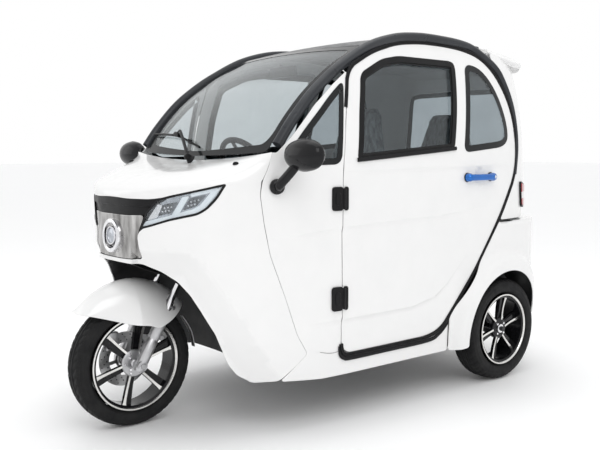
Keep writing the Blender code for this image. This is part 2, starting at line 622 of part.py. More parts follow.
def upper_bodywork():
    """Windscreen, rails, roof, rear body, rear window, bumper with fenders, and tail lamps."""
    panel("windscreen", screen, [(-0.995, 0.01), (0.995, 0.01), (0.995, 0.985), (-0.995, 0.985)], "clear_glass",
          spacing=0.22)
    both_sides("roof_rail", lambda name: sweep(name, PILLAR, 0.019, 0.019, "dark_trim"))
    edge = [(0.0, 0.893), (0.22, 0.893), (0.424, 0.896), (0.424, 1.30), (0.422, 1.66), (0.452, 1.735), (0.455, 1.93),
            (0.400, 2.020), (0.0, 2.032)]
    panel("roof_panel", roof, whole(edge), "white_paint", spacing=0.2)
    tall = on_tail(UPPER_TAIL_FRONT, upper_tail)
    window = [(0.0, 1.435), (0.345, 1.430), (0.375, 1.400), (0.400, 1.10), (0.370, 1.055), (0.0, 1.050)]
    lamp = on_tail(TAIL_LAMP, upper_tail)
    lamps = [lamp, [(-u, z) for u, z in lamp]]
    rear = whole([(0.0, 0.780)] + tall + [(0.55, 1.552), (0.0, 1.540)])
    panel("rear_body", upper_tail, rear, "white_paint", holes=[whole(window)] + lamps, spacing=0.13)
    panel("rear_window", upper_tail, offset_outline(whole(window), -0.004), "clear_glass", spacing=0.12)
    both_sides("tail_lamp", lambda name: panel(name, upper_tail, offset_outline(lamp, -0.004), "red_lens",
                                               spacing=0.07, thickness=0.014, depth=-0.002))
    arch = arc_points((REAR_AXLE_STATION, REAR_TYRE_R), 0.292, 188, 8, 13)
    half = on_tail(LOWER_TAIL_FRONT + arch, lower_tail)
    shelf = [(0.0, LEDGE_Z + 0.090), (0.45, LEDGE_Z + 0.090), (0.70, LEDGE_Z + 0.075)]
    shelf += on_tail([(1.760, LEDGE_Z)], lower_tail)
    low = whole(shelf + half + [(0.35, 0.300), (0.0, 0.300)])
    panel("rear_fenders", lower_tail, low, "white_paint", folds=[[(-0.80, LEDGE_Z), (0.80, LEDGE_Z)]], spacing=0.11)


def doors():
    """Each door's shell, inner trim, drop glass, fixed glass and pull handle."""
    pane = [(y, z if z > 1.15 else 1.036) for y, z in offset_outline(FRONT_PANE, 0.010)]
    both_sides("door_shell", lambda name: panel(name, side, DOOR, "white_paint", holes=[FRONT_PANE, REAR_PANE],
                                                spacing=0.15))
    both_sides("door_trim", lambda name: panel(name, door_trim, DOOR_TRIM, "dark_trim", spacing=0.12,
                                               thickness=0.003))
    both_sides("drop_glass", lambda name: panel(name, drop_glass, pane, "clear_glass", spacing=0.15))
    both_sides("rear_door_glass", lambda name: panel(name, side, offset_outline(REAR_PANE, -0.003), "clear_glass",
                                                     spacing=0.15))
    both_sides("door_handle", door_handle)


def door_handle(name):
    """A pull bar on two feet, which turns about its front foot."""
    skin, bar = BODY_HALF_WIDTH + 0.0008, BODY_HALF_WIDTH + 0.0135
    outline = [(skin, 1.402), (skin, 1.425), (bar, 1.432), (bar, 1.568), (skin, 1.575), (skin, 1.600),
               (bar + 0.012, 1.597), (bar + 0.016, 1.580), (bar + 0.016, 1.420), (bar + 0.012, 1.405)]
    rings = [[Vector((x, y, z)) for x, y in outline] for z in (0.974, 0.996)]
    return loft(name, rings, "blue_metal")


# ---- cabin ---------------------------------------------------------------------------------------
def cushion(name, rings, material_name):
    """A soft solid through (centre station, height, half width, half depth) rings with cut corners."""
    shape = ((1, .6), (.8, 1), (-.8, 1), (-1, .6), (-1, -.6), (-.8, -1), (.8, -1), (1, -.6))
    return loft(name, [[Vector((a * wide, y + b * deep, z)) for a, b in shape] for y, z, wide, deep in rings],
                material_name)


def cabin():
    """Floor, seats, battery, dashboard, steering wheel, mirror and pedal."""
    floor = [(0.465, 0.296), (1.360, 0.296), (1.360, 0.556), (1.995, 0.556), (1.995, 0.560), (1.356, 0.560),
             (1.356, 0.300), (0.465, 0.300)]
    pan = prism("floor_pan", floor, -0.485, 0.485, "dark_trim")
    walls = [box("wall", (x - 0.002, 1.358, 0.350), (x + 0.002, 1.990, 0.558), "dark_trim") for x in (-0.425, 0.425)]
    ears = [box("ear", (x - 0.003, 0.488, 0.298), (x + 0.003, 0.512, 0.352), "dark_trim") for x in (0.107, 0.153)]
    combine(pan, walls + ears, "UNION")
    base = box("front_seat_base", (-0.19, 0.88, 0.3005), (0.19, 1.22, 0.555), "dark_trim")
    combine(base, [box("hollow", (-0.184, 0.886, 0.290), (0.184, 1.214, 0.549), "dark_trim")], "DIFFERENCE")
    box("battery_pack", (-0.15, 0.92, 0.302), (0.15, 1.18, 0.500), "black_plastic")
    cushion("front_seat_cushion", [(1.045, 0.556, 0.205, 0.180), (1.045, 0.580, 0.215, 0.190),
                                   (1.045, 0.645, 0.215, 0.190), (1.050, 0.668, 0.195, 0.170)], "seat_vinyl")
    cushion("front_seat_back", [(1.212, 0.680, 0.200, 0.030), (1.222, 0.720, 0.215, 0.042),
                                (1.262, 1.060, 0.190, 0.042), (1.296, 1.290, 0.125, 0.034),
                                (1.302, 1.325, 0.100, 0.020)], "seat_vinyl")
    cushion("rear_seat_cushion", [(1.650, 0.561, 0.250, 0.195), (1.650, 0.585, 0.260, 0.205),
                                  (1.650, 0.660, 0.260, 0.205), (1.655, 0.682, 0.240, 0.185)], "seat_vinyl")
    cushion("rear_seat_back", [(1.868, 0.695, 0.220, 0.030), (1.874, 0.730, 0.235, 0.042),
                               (1.912, 1.060, 0.200, 0.042), (1.940, 1.280, 0.130, 0.034),
                               (1.944, 1.315, 0.105, 0.020)], "seat_vinyl")
    dash = [(0.375, 1.058), (0.500, 1.054), (0.545, 1.034), (0.545, 1.012), (0.480, 0.986), (0.385, 0.930),
            (0.360, 0.960), (0.364, 1.045)]
    prism("dashboard", dash, -0.440, 0.440, "dark_trim")
    steering_wheel()
    stem = rod("stem", (0, 0.800, 1.470), (0, 0.778, 1.492), 0.006, "black_plastic", 8)
    glass = box("interior_mirror", (-0.085, 0.785, 1.437), (0.085, 0.805, 1.485), "black_plastic")
    combine(glass, [stem], "UNION")
    hub = rod("brake_pedal", (0.1105, 0.500, 0.338), (0.1495, 0.500, 0.338), 0.010, "frame_steel", 10)
    lever = rod("lever", (0.130, 0.500, 0.338), (0.130, 0.478, 0.440), 0.007, "frame_steel", 8)
    pad = box("pad", (0.095, 0.470, 0.430), (0.165, 0.486, 0.480), "black_plastic")
    combine(hub, [lever, pad], "UNION")


def steering_wheel():
    """A round rim on three spokes and the column that it turns with."""
    axis = (COLUMN_TOP - COLUMN_FOOT).normalized()
    across = Vector((1, 0, 0))
    up = axis.cross(across)
    steps, sides = 20, 6
    verts, faces = [], []
    for i in range(steps):
        turn = 2 * math.pi * i / steps
        radial = math.cos(turn) * across + math.sin(turn) * up
        for j in range(sides):
            roll = 2 * math.pi * j / sides
            verts.append(COLUMN_TOP + radial * (0.165 + 0.013 * math.cos(roll)) + axis * 0.013 * math.sin(roll))
    for i in range(steps):
        for j in range(sides):
            a, b = i * sides, ((i + 1) % steps) * sides
            faces.append((a + j, b + j, b + (j + 1) % sides, a + (j + 1) % sides))
    rim = mesh_object("steering_wheel", verts, faces, "black_plastic")
    column = rod("column", COLUMN_FOOT, COLUMN_TOP - axis * 0.012, 0.012, "black_plastic", 8)
    hub = rod("hub", COLUMN_TOP - axis * 0.030, COLUMN_TOP + axis * 0.008, 0.040, "black_plastic", 12)
    spokes = [rod("spoke", COLUMN_TOP, COLUMN_TOP + 0.163 * (math.cos(t) * across + math.sin(t) * up), 0.009,
                  "black_plastic", 6) for t in (math.radians(a) for a in (8, 172, -90))]
    combine(rim, [hub, column] + spokes, "UNION")


# ---- front end -----------------------------------------------------------------------------------
def fork_point(x, distance, behind=0.0):
    """A point on a fork leg, distance up from the axle, or behind that leg's line."""
    up, back = Vector((0, math.sin(RAKE), math.cos(RAKE))), Vector((0, math.cos(RAKE), -math.sin(RAKE)))
    return Vector((x, 0, FRONT_TYRE_R)) + distance * up + behind * back


def fork():
    """Yoke with both tubes and the stem, the two sliders, axle, fender, caliper."""
    yoke = box("fork_yoke", (-0.105, -0.022, -0.012), (0.105, 0.050, 0.012), "silver_alloy")
    for vertex in yoke.data.vertices:
        x, y, z = vertex.co
        vertex.co = fork_point(x, 0.452 + z, y)
    tubes = [rod("tube", fork_point(x, 0.150), fork_point(x, 0.470), 0.0135, "chrome")
             for x in (-FORK_HALF, FORK_HALF)]
    stem = rod("stem", fork_point(0, 0.445, STEER_OFFSET), fork_point(0, 0.655, STEER_OFFSET), 0.013, "frame_steel")
    combine(yoke, tubes + [stem], "UNION")

    def slider(name):
        body = rod(name, fork_point(FORK_HALF, -0.024), fork_point(FORK_HALF, 0.230), 0.0185, "silver_alloy")
        bore = rod("bore", fork_point(FORK_HALF, 0.095), fork_point(FORK_HALF, 0.300), 0.0148, "silver_alloy")
        hole = rod("hole", (0.05, 0, FRONT_TYRE_R), (0.12, 0, FRONT_TYRE_R), 0.0090, "silver_alloy")
        return combine(body, [bore, hole], "DIFFERENCE")

    both_sides("fork_slider", slider)
    rod("front_axle", (-0.112, 0, FRONT_TYRE_R), (0.112, 0, FRONT_TYRE_R), 0.0080, "steel")
    holes = []
    for sign in (-1, 1):
        holes.append([(0.520 + 0.080 * math.cos(t), sign * 0.530 + 0.17 * math.sin(t))
                      for t in (2 * math.pi * i / 10 for i in range(10))])
    edge = [(-0.80, 0.0), (-0.78, 0.8), (-0.74, 1.0), (0.48, 1.0), (0.66, 0.82), (0.74, 0.50), (0.76, 0.0)]
    panel("front_fender", front_fender_skin, edge + [(t, -v) for t, v in edge[-2:0:-1]], "white_paint",
          holes=holes, spacing=0.22, thickness=0.003)
    caliper = box("brake_caliper", (-0.076, -0.085, 0.300), (-0.040, -0.030, 0.375), "silver_alloy")
    combine(caliper, [box("slot", (-0.0595, -0.090, 0.290), (-0.0525, -0.020, 0.3695), "silver_alloy")], "DIFFERENCE")


def tyre(name, x, station, radius, half, seat):
    """A hollow tyre section turned about the axle."""
    outer = [(-0.74, 0), (-1.0, 0.30), (-0.97, 0.68), (-0.62, 0.94), (0, 1.0), (0.62, 0.94), (0.97, 0.68), (1.0, 0.30),
             (0.74, 0)]
    inner = [(0.62, 0.0), (0.84, 0.32), (0.80, 0.62), (0, 0.87), (-0.80, 0.62), (-0.84, 0.32), (-0.62, 0.0)]
    profile = [(a * half, seat + 0.0015 + b * (radius - seat - 0.0015)) for a, b in outer + inner]
    return lathe(name, profile, (x, station, radius), "tyre_rubber")


def wheel_rim(name, x, station, axle_z, half, flange, face, hub_radius, bore, material_name):
    """Barrel, six spokes and hub, joined; face is where the spokes lie from the wheel's middle."""
    barrel = [(-half, flange), (-half + 0.006, flange), (-half + 0.010, flange - 0.013), (half - 0.010, flange - 0.013),
              (half - 0.006, flange), (half, flange), (half, flange - 0.006), (half - 0.008, flange - 0.019),
              (-half + 0.008, flange - 0.019), (-half, flange - 0.006)]
    rim = lathe(name, barrel, (x, station, axle_z), material_name)
    low, high = min(-half, face) + 0.002, max(half, face) - 0.004
    hub = lathe("hub", [(low, bore), (high, bore), (high, hub_radius * 0.6), (face + 0.006, hub_radius),
                        (face - 0.012, hub_radius), (low, hub_radius * 0.7)], (x, station, axle_z), material_name, 18)
    spokes = []
    for i in range(6):
        turn = math.radians(60 * i + 18)
        ring = []
        for radius, wide in ((hub_radius * 0.8, 0.016), (flange - 0.017, 0.011)):
            centre = Vector((x + face, station + radius * math.cos(turn), axle_z + radius * math.sin(turn)))
            side_way = Vector((0, -math.sin(turn), math.cos(turn)))
            deep = Vector((0.008, 0, 0))
            ring.append([centre + side_way * wide + deep, centre - side_way * wide + deep,
                         centre - side_way * wide - deep, centre + side_way * wide - deep])
        spokes.append(loft("spoke", ring, material_name))
    return combine(rim, [hub] + spokes, "UNION")


def wheels():
    """Front and rear wheels, brake disc and the rear axle with its motor."""
    tyre("front_tyre", 0.0, 0.0, FRONT_TYRE_R, FRONT_TYRE_HALF, FRONT_RIM_R)
    wheel_rim("front_rim", 0.0, 0.0, FRONT_TYRE_R, 0.050, FRONT_RIM_R, 0.030, 0.050, 0.0092, "black_paint")
    lathe("brake_disc", [(-0.0575, 0.030), (-0.0545, 0.030), (-0.0545, 0.112), (-0.0575, 0.112)],
          (0, 0, FRONT_TYRE_R), "steel")
    for name, sign in (("left", 1), ("right", -1)):
        tyre(name + "_rear_tyre", sign * REAR_WHEEL_X, REAR_AXLE_STATION, REAR_TYRE_R, REAR_TYRE_HALF, REAR_RIM_R)
        wheel_rim(name + "_rear_rim", sign * REAR_WHEEL_X, REAR_AXLE_STATION, REAR_TYRE_R, 0.063, REAR_RIM_R,
                  sign * 0.030, 0.050, 0.0135, "black_paint")
    middle = (REAR_AXLE_STATION, REAR_TYRE_R)
    axle = rod("rear_axle", (-0.425, *middle), (0.425, *middle), 0.028, "frame_steel")
    motor = rod("motor", (-0.120, *middle), (0.100, *middle), 0.075, "frame_steel", 16)
    ends = [rod("end", (sign * 0.420, *middle), (sign * 0.565, *middle), 0.012, "frame_steel") for sign in (-1, 1)]
    combine(axle, [motor] + ends, "UNION")
    both_sides("coil_over", lambda name: rod(name, (0.300, REAR_AXLE_STATION, 0.2785),
                                             (0.300, REAR_AXLE_STATION, 0.5090), 0.030, "chrome"))


def chassis():
    """Ladder frame with steering head, rear kick-up and the bar that holds the shock units."""
    rail = [(0.400, 0.235), (1.420, 0.235), (1.520, 0.420), (1.980, 0.420), (1.980, 0.455), (1.500, 0.455),
            (1.400, 0.270), (0.400, 0.270)]
    frame = prism("chassis_frame", rail, 0.200, 0.235, "frame_steel")
    parts = [prism("rail", rail, -0.235, -0.200, "frame_steel")]
    for y0, y1, z0, z1 in ((0.420, 0.455, 0.237, 0.268), (0.950, 0.985, 0.237, 0.268), (1.550, 1.585, 0.422, 0.453),
                           (1.940, 1.975, 0.422, 0.453)):
        parts.append(box("cross", (-0.210, y0, z0), (0.210, y1, z1), "frame_steel"))
    parts.append(box("tower", (-0.340, 1.683, 0.510), (0.340, 1.723, 0.545), "frame_steel"))
    parts += [box("post", (x - 0.015, 1.688, 0.440), (x + 0.015, 1.718, 0.520), "frame_steel") for x in (-0.217, 0.217)]
    riser = [(0.422, 0.237), (0.453, 0.237), (0.453, 0.640), (0.390, 0.800), (0.330, 0.790), (0.318, 0.745),
             (0.350, 0.700), (0.422, 0.580)]
    parts.append(prism("riser", riser, -0.020, 0.020, "frame_steel"))
    parts.append(rod("head", fork_point(0, 0.510, STEER_OFFSET), fork_point(0, 0.630, STEER_OFFSET), 0.026,
                     "frame_steel"))
    combine(frame, parts, "UNION")
    bore = rod("bore", fork_point(0, 0.480, STEER_OFFSET), fork_point(0, 0.680, STEER_OFFSET), 0.0145, "frame_steel")
    combine(frame, [bore], "DIFFERENCE")


def mirror(name):
    """A rounded housing on a short stalk."""
    centre, size = Vector((0.650, 0.380, 1.091)), Vector((0.092, 0.046, 0.055))
    rings = []
    for i in range(1, 8):
        t = math.pi * i / 8
        x, r = -math.cos(t), math.sin(t) ** 0.8
        rings.append([centre + Vector((size.x * x, size.y * r * math.cos(a), size.z * r * math.sin(a)))
                      for a in (2 * math.pi * j / 12 for j in range(12))])
    housing = loft(name, rings, "black_plastic")
    foot = side(0.350, 0.972) + 0.0030 * Vector((0.974, -0.225, 0))
    base = rod("base", foot, foot + 0.018 * Vector((0.974, -0.225, 0)), 0.022, "black_plastic", 12, 0.018)
    stalk = rod("stalk", foot + Vector((0.018, -0.002, -0.004)), (0.630, 0.378, 1.070), 0.014, "black_plastic", 10,
                0.020)
    return combine(housing, [base, stalk], "UNION")


def wiper():
    """Spindle, arm and blade in one piece, parked low on the glass."""
    cap = rod("wiper", WIPER_PIVOT, WIPER_PIVOT + 0.030 * WIPER_AXIS, 0.013, "black_plastic", 10)
    arm = sweep("arm", WIPER_PATH, 0.007, 0.004, "black_plastic")
    blade = sweep("blade", BLADE_PATH, 0.005, 0.006, "black_plastic", side=Vector((0, 1, 0)))
    clip = box("clip", (-0.215, 0.342, 1.164), (-0.175, 0.363, 1.188), "black_plastic")
    combine(cap, [arm, blade, clip], "UNION")


def pivots():
    """A point on the joint of each moving piece."""
    axle = Vector((0, 0, FRONT_TYRE_R))
    found = {"front_rim": axle, "front_tyre": axle, "brake_disc": axle, "front_fender": axle, "front_axle": axle,
             "brake_caliper": axle, "fork_yoke": fork_point(0, 0.452, STEER_OFFSET), "steering_wheel": COLUMN_TOP,
             "rear_axle": Vector((0, REAR_AXLE_STATION, REAR_TYRE_R)), "wiper": WIPER_PIVOT,
             "interior_mirror": Vector((0, 0.795, 1.475)), "brake_pedal": Vector((0.130, 0.500, 0.338))}
    for name, sign in (("left_", 1), ("right_", -1)):
        hinge = Vector((sign * DOOR_HINGE[0], DOOR_HINGE[1], 0.700))
        for piece in ("door_shell", "door_trim", "rear_door_glass"):
            found[name + piece] = hinge
        found[name + "drop_glass"] = Vector((sign * (WINDOW_X - SIDE_RADIUS), 1.060, BELT_CENTRE_Z))
        found[name + "door_handle"] = Vector((sign * 0.5638, 1.402, 0.985))
        found[name + "mirror"] = Vector((sign * 0.540, 0.352, 0.972))
        found[name + "fork_slider"] = Vector((sign * FORK_HALF, 0, FRONT_TYRE_R))
        for piece in ("rear_rim", "rear_tyre"):
            found[name + piece] = Vector((sign * REAR_WHEEL_X, REAR_AXLE_STATION, REAR_TYRE_R))
    return found


def place_origins():
    """Puts each moving piece's origin on its joint and moves the whole to the middle of its length."""
    joints = pivots()
    for obj in bpy.data.objects:
        pivot = joints.get(obj.name, Vector((0, 0, 0)))
        for vertex in obj.data.vertices:
            vertex.co -= pivot
        obj.location = pivot - Vector((0, MID_STATION, 0))


def build_all():
    clear_scene()
    front_bodywork()
    upper_bodywork()
    doors()
    cabin()
    fork()
    wheels()
    chassis()
    both_sides("mirror", mirror)
    wiper()
    place_origins()


build_all()
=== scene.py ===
"""Looks of the enclosed three-wheel cabin scooter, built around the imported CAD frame.

Metres, +Z up, the front faces -Y, the scooter's left is +X. Pieces are made in stations (y measured
rearwards from the front axle) and moved to the row frame by MID_STATION as they are finished.
"""
import math

import bmesh
import bpy
import numpy as np
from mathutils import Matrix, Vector
from mathutils.geometry import delaunay_2d_cdt


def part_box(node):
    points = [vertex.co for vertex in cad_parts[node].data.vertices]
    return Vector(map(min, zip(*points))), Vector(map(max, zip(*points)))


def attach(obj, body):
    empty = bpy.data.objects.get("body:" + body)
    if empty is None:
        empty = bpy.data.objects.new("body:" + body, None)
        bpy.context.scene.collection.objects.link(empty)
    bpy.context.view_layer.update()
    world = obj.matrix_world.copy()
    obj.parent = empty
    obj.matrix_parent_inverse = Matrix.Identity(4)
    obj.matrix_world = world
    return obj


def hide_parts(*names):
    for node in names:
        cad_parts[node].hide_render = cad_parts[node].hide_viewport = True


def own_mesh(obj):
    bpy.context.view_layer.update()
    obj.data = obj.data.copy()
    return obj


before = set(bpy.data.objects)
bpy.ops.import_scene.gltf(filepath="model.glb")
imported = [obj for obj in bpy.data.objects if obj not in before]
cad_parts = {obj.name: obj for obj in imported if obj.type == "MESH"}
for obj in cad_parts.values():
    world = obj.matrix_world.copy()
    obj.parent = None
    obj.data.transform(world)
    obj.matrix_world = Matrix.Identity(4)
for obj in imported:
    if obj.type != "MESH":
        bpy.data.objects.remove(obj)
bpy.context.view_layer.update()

# ---- dimensions shared with the CAD --------------------------------------------------------------
MID_STATION = 0.9240
BODY_HALF_WIDTH = 0.563
NOSE_STATION = -0.070
FRONT_ARC_START = 0.800
REAR_ARC_START = 1.300
TAIL_STATION = 2.070
FRONT_POWER = 2.5
REAR_POWER = 4.0
TAIL_LOW_POWER = 5.5
BELT_CENTRE_Z = 1.020
SIDE_RADIUS = 1.600
SILL_Z = 0.420
LEDGE_Z = 0.768
RAKE = math.radians(29.8)
FRONT_TYRE_R = 0.256
REAR_AXLE_STATION = 1.703
REAR_TYRE_R = 0.246
REAR_WHEEL_X = 0.505
FORK_HALF = 0.085
WINDOW_X = 0.549
HOOD_TOP = 1.300
PLAN_SCALE = 0.55
FRONT_TYRE_HALF = 0.052
FRONT_RIM_HALF = 0.050
FRONT_SEAT_R = 0.191
REAR_TYRE_HALF = 0.066
REAR_RIM_HALF = 0.063
REAR_SEAT_R = 0.171
SPOKE_FACE = 0.030
HUB_R = 0.050
DISC_R = 0.112
DISC_IN_R = 0.068
DISC_SIDES = (-0.0575, -0.0545)
HANDLE_Z = 0.985
HANDLE_FEET = (1.416, 1.586)
HINGE_ROWS = ((0.872, 0.963), (0.471, 0.564))
REAR_ARCH_R = 0.296
STEERING_WHEEL_R = 0.165
COIL_X = 0.300
COIL_LOW = 0.2785
COIL_HIGH = 0.5090
COIL_R = 0.0262
COIL_TURNS = 6.5
MIRROR_CENTRE = Vector((0.650, 0.380, 1.091))
MIRROR_SIZE = Vector((0.101, 0.050, 0.060))
WIPER_PIVOT = Vector((0.070, 0.252, 1.0725))
WIPER_AXIS = Vector((-0.040, -0.788, 0.615)).normalized()
NOSE_LAMP_CENTRE = Vector((0, -0.066, 0.774))
CLOTH_FRAMES = 16
CLOTH_PRESSURE = 4.0
CAMERA_PLACE = (2.965, -1.558, 1.111)
CAMERA_PITCH = math.radians(5.23)
CAMERA_AZIMUTH = math.radians(50.43)
CAMERA_LENS = 49.41
COLUMN_TOP = Vector((0.0, 0.600, 1.015))
COLUMN_FOOT = Vector((0.0, 0.352, 0.8545))


# ---- materials -----------------------------------------------------------------------------------
def node_of(tree, kind, **values):
    """A shader node with its named inputs or properties set."""
    node = tree.nodes.new(kind)
    for key, value in values.items():
        if hasattr(node, key):
            setattr(node, key, value)
        else:
            node.inputs[key.replace("_", " ")].default_value = value
    return node


def noise(tree, scale, detail=4.0, rough=0.55, stretch=None):
    """Noise in object coordinates, so that its size is real; stretch scales the axes."""
    where = tree.nodes.new("ShaderNodeTexCoord")
    source = where.outputs["Object"]
    if stretch:
        mapping = tree.nodes.new("ShaderNodeMapping")
        mapping.inputs["Scale"].default_value = stretch
        tree.links.new(source, mapping.inputs["Vector"])
        source = mapping.outputs["Vector"]
    made = node_of(tree, "ShaderNodeTexNoise", Scale=scale, Detail=detail, Roughness=rough)
    tree.links.new(source, made.inputs["Vector"])
    return made.outputs["Fac"]


def remap(tree, source, low, high, start=0.3, end=0.7):
    """A value moved from start..end to low..high."""
    made = tree.nodes.new("ShaderNodeMapRange")
    for socket, value in zip(("From Min", "From Max", "To Min", "To Max"), (start, end, low, high)):
        made.inputs[socket].default_value = value
    tree.links.new(source, made.inputs["Value"])
    return made.outputs["Result"]


def blended(tree, factor, first, second):
    """A colour between first and second, by factor."""
    made = tree.nodes.new("ShaderNodeMix")
    made.data_type = "RGBA"
    made.inputs["A"].default_value = (*first, 1)
    made.inputs["B"].default_value = (*second, 1)
    tree.links.new(factor, made.inputs["Factor"])
    return made.outputs["Result"]


def finish(name, first, second, rough, metal=0.0, patch=9.0, grain=260.0, bump=0.05, deep=0.0006, coat=0.0,
           stretch=None, sheen=0.0, shine=0.5):
    """A surface with blotches of two near colours, uneven roughness and a fine grain."""
    made = bpy.data.materials.new(name)
    made.use_nodes = True
    tree = made.node_tree
    shader = tree.nodes["Principled BSDF"]
    shader.inputs["Metallic"].default_value = metal
    shader.inputs["Coat Weight"].default_value = coat
    shader.inputs["Coat Roughness"].default_value = 0.04
    shader.inputs["Sheen Weight"].default_value = sheen
    shader.inputs["Specular IOR Level"].default_value = shine
    blotch = noise(tree, patch, stretch=stretch)
    tree.links.new(blended(tree, remap(tree, blotch, 0.0, 1.0), first, second), shader.inputs["Base Color"])
    tree.links.new(remap(tree, noise(tree, patch * 3.1), rough[0], rough[1]), shader.inputs["Roughness"])
    fine = node_of(tree, "ShaderNodeBump", Strength=bump, Distance=deep)
    tree.links.new(noise(tree, grain, 3.0, stretch=stretch), fine.inputs["Height"])
    tree.links.new(fine.outputs["Normal"], shader.inputs["Normal"])
    return made


def glass(name, tint, deep_tint=None, band=None):
    """Thin clear glass with faint smears; an optional darker band from band[0] up to band[1] in height."""
    made = bpy.data.materials.new(name)
    made.use_nodes = True
    tree = made.node_tree
    tree.nodes.clear()
    out = tree.nodes.new("ShaderNodeOutputMaterial")
    mix = tree.nodes.new("ShaderNodeMixShader")
    clear = node_of(tree, "ShaderNodeBsdfTransparent")
    gloss = node_of(tree, "ShaderNodeBsdfAnisotropic")
    gloss.inputs["Color"].default_value = (0.9, 0.92, 0.93, 1)
    facing = tree.nodes.new("ShaderNodeLayerWeight")
    steep = node_of(tree, "ShaderNodeMath", operation="POWER")
    steep.inputs[1].default_value = 4.0
    tree.links.new(facing.outputs["Facing"], steep.inputs[0])
    tree.links.new(remap(tree, steep.outputs["Value"], 0.035, 0.75, 0.0, 1.0), mix.inputs["Fac"])
    tree.links.new(clear.outputs["BSDF"], mix.inputs[1])
    tree.links.new(gloss.outputs["BSDF"], mix.inputs[2])
    tree.links.new(mix.outputs["Shader"], out.inputs["Surface"])
    tree.links.new(remap(tree, noise(tree, 7.0, 5.0), 0.008, 0.05), gloss.inputs["Roughness"])
    smear = remap(tree, noise(tree, 5.0, 6.0, 0.7), 0.0, 1.0)
    if band:
        where = tree.nodes.new("ShaderNodeTexCoord")
        apart = tree.nodes.new("ShaderNodeSeparateXYZ")
        tree.links.new(where.outputs["Object"], apart.inputs["Vector"])
        smear = remap(tree, apart.outputs["Z"], 0.0, 1.0, *band)
    second = deep_tint or tuple(c * 0.95 for c in tint)
    tree.links.new(blended(tree, smear, tint, second), clear.inputs["Color"])
    return made


WHITE = finish("white_gloss_paint", (0.800, 0.798, 0.795), (0.780, 0.779, 0.777), (0.14, 0.24), coat=0.6,
               grain=420.0, bump=0.02, deep=0.0003)
BLACK = finish("satin_black_plastic", (0.005, 0.005, 0.0055), (0.010, 0.010, 0.011), (0.30, 0.46),
               grain=900.0, bump=0.12, shine=0.16)
GLOSS_BLACK = finish("gloss_black_paint", (0.004, 0.004, 0.005), (0.008, 0.008, 0.009), (0.10, 0.18),
                     grain=500.0, bump=0.015, shine=0.26)
FRIT = finish("black_ceramic_edge", (0.010, 0.011, 0.012), (0.016, 0.017, 0.018), (0.06, 0.14), grain=700.0,
              bump=0.02, shine=0.2)
RAIL = finish("dark_grey_rail_paint", (0.020, 0.022, 0.026), (0.034, 0.037, 0.042), (0.26, 0.4),
              grain=600.0, bump=0.05, stretch=(1, 0.2, 1), shine=0.3)
SEAL = finish("black_rubber_seal", (0.005, 0.005, 0.006), (0.010, 0.010, 0.011), (0.30, 0.48), grain=500.0,
              bump=0.15, shine=0.18)
RUBBER = finish("tyre_rubber", (0.009, 0.009, 0.010), (0.018, 0.018, 0.018), (0.50, 0.72), grain=700.0,
                bump=0.3, patch=16.0, shine=0.14)
ALLOY = finish("cast_alloy", (0.55, 0.55, 0.56), (0.44, 0.44, 0.45), (0.28, 0.45), metal=1.0, grain=800.0,
               bump=0.15)
BRIGHT = finish("machined_alloy_face", (0.80, 0.79, 0.77), (0.68, 0.67, 0.65), (0.16, 0.3), metal=1.0,
                grain=1500.0, bump=0.12, stretch=(1, 1, 1))
CHROME = finish("chrome_plate", (0.82, 0.82, 0.83), (0.72, 0.72, 0.74), (0.04, 0.10), metal=1.0,
                grain=300.0, bump=0.01)
SMOKED = finish("smoked_chrome", (0.66, 0.65, 0.64), (0.15, 0.145, 0.14), (0.05, 0.12), metal=1.0,
                patch=17.0, grain=240.0, bump=0.02, stretch=(1.4, 1.4, 0.35))
STEEL = finish("brushed_steel", (0.50, 0.50, 0.50), (0.36, 0.36, 0.37), (0.28, 0.5), metal=1.0, grain=900.0,
               bump=0.2, stretch=(6, 1, 1))
FRAME_STEEL = finish("black_frame_coating", (0.022, 0.022, 0.024), (0.040, 0.040, 0.042), (0.35, 0.6),
                     metal=0.3, grain=350.0, bump=0.2)
TRIM = finish("dark_interior_trim", (0.075, 0.080, 0.085), (0.055, 0.058, 0.062), (0.5, 0.72), grain=1100.0,
              bump=0.35)
VINYL = finish("grey_seat_fabric", (0.07, 0.083, 0.092), (0.36, 0.39, 0.41), (0.4, 0.7), patch=48.0,
               grain=700.0, bump=0.5, sheen=0.35, stretch=(1.6, 1.6, 0.5))
GUIDE = finish("lamp_light_guide", (0.72, 0.77, 0.82), (0.86, 0.89, 0.92), (0.08, 0.2), coat=0.8,
               grain=260.0, bump=0.05)
BLUE = finish("blue_anodised_metal", (0.004, 0.10, 0.42), (0.010, 0.16, 0.55), (0.14, 0.26), metal=0.75,
              coat=0.6, grain=600.0, bump=0.03)
RED = finish("red_lens", (0.32, 0.012, 0.018), (0.42, 0.03, 0.035), (0.08, 0.16), coat=0.7, grain=260.0,
             bump=0.25)
PALE_LENS = finish("pale_lens", (0.62, 0.60, 0.60), (0.78, 0.76, 0.75), (0.08, 0.18), coat=0.7, grain=240.0,
                   bump=0.25)
LED = finish("led_window", (0.035, 0.037, 0.04), (0.24, 0.25, 0.27), (0.08, 0.2), metal=0.6, patch=90.0,
             grain=300.0, bump=0.4)
LAMP_DARK = finish("lamp_bowl", (0.34, 0.36, 0.39), (0.62, 0.65, 0.70), (0.08, 0.2), metal=0.9, patch=24.0)
CLEAR = glass("side_window_glass", (0.74, 0.77, 0.785))
SCREEN = glass("windscreen_glass", (0.95, 0.965, 0.965), (0.62, 0.64, 0.65), band=(1.38, 1.50))
LENS = glass("lamp_lens_clear", (0.97, 0.98, 0.985))


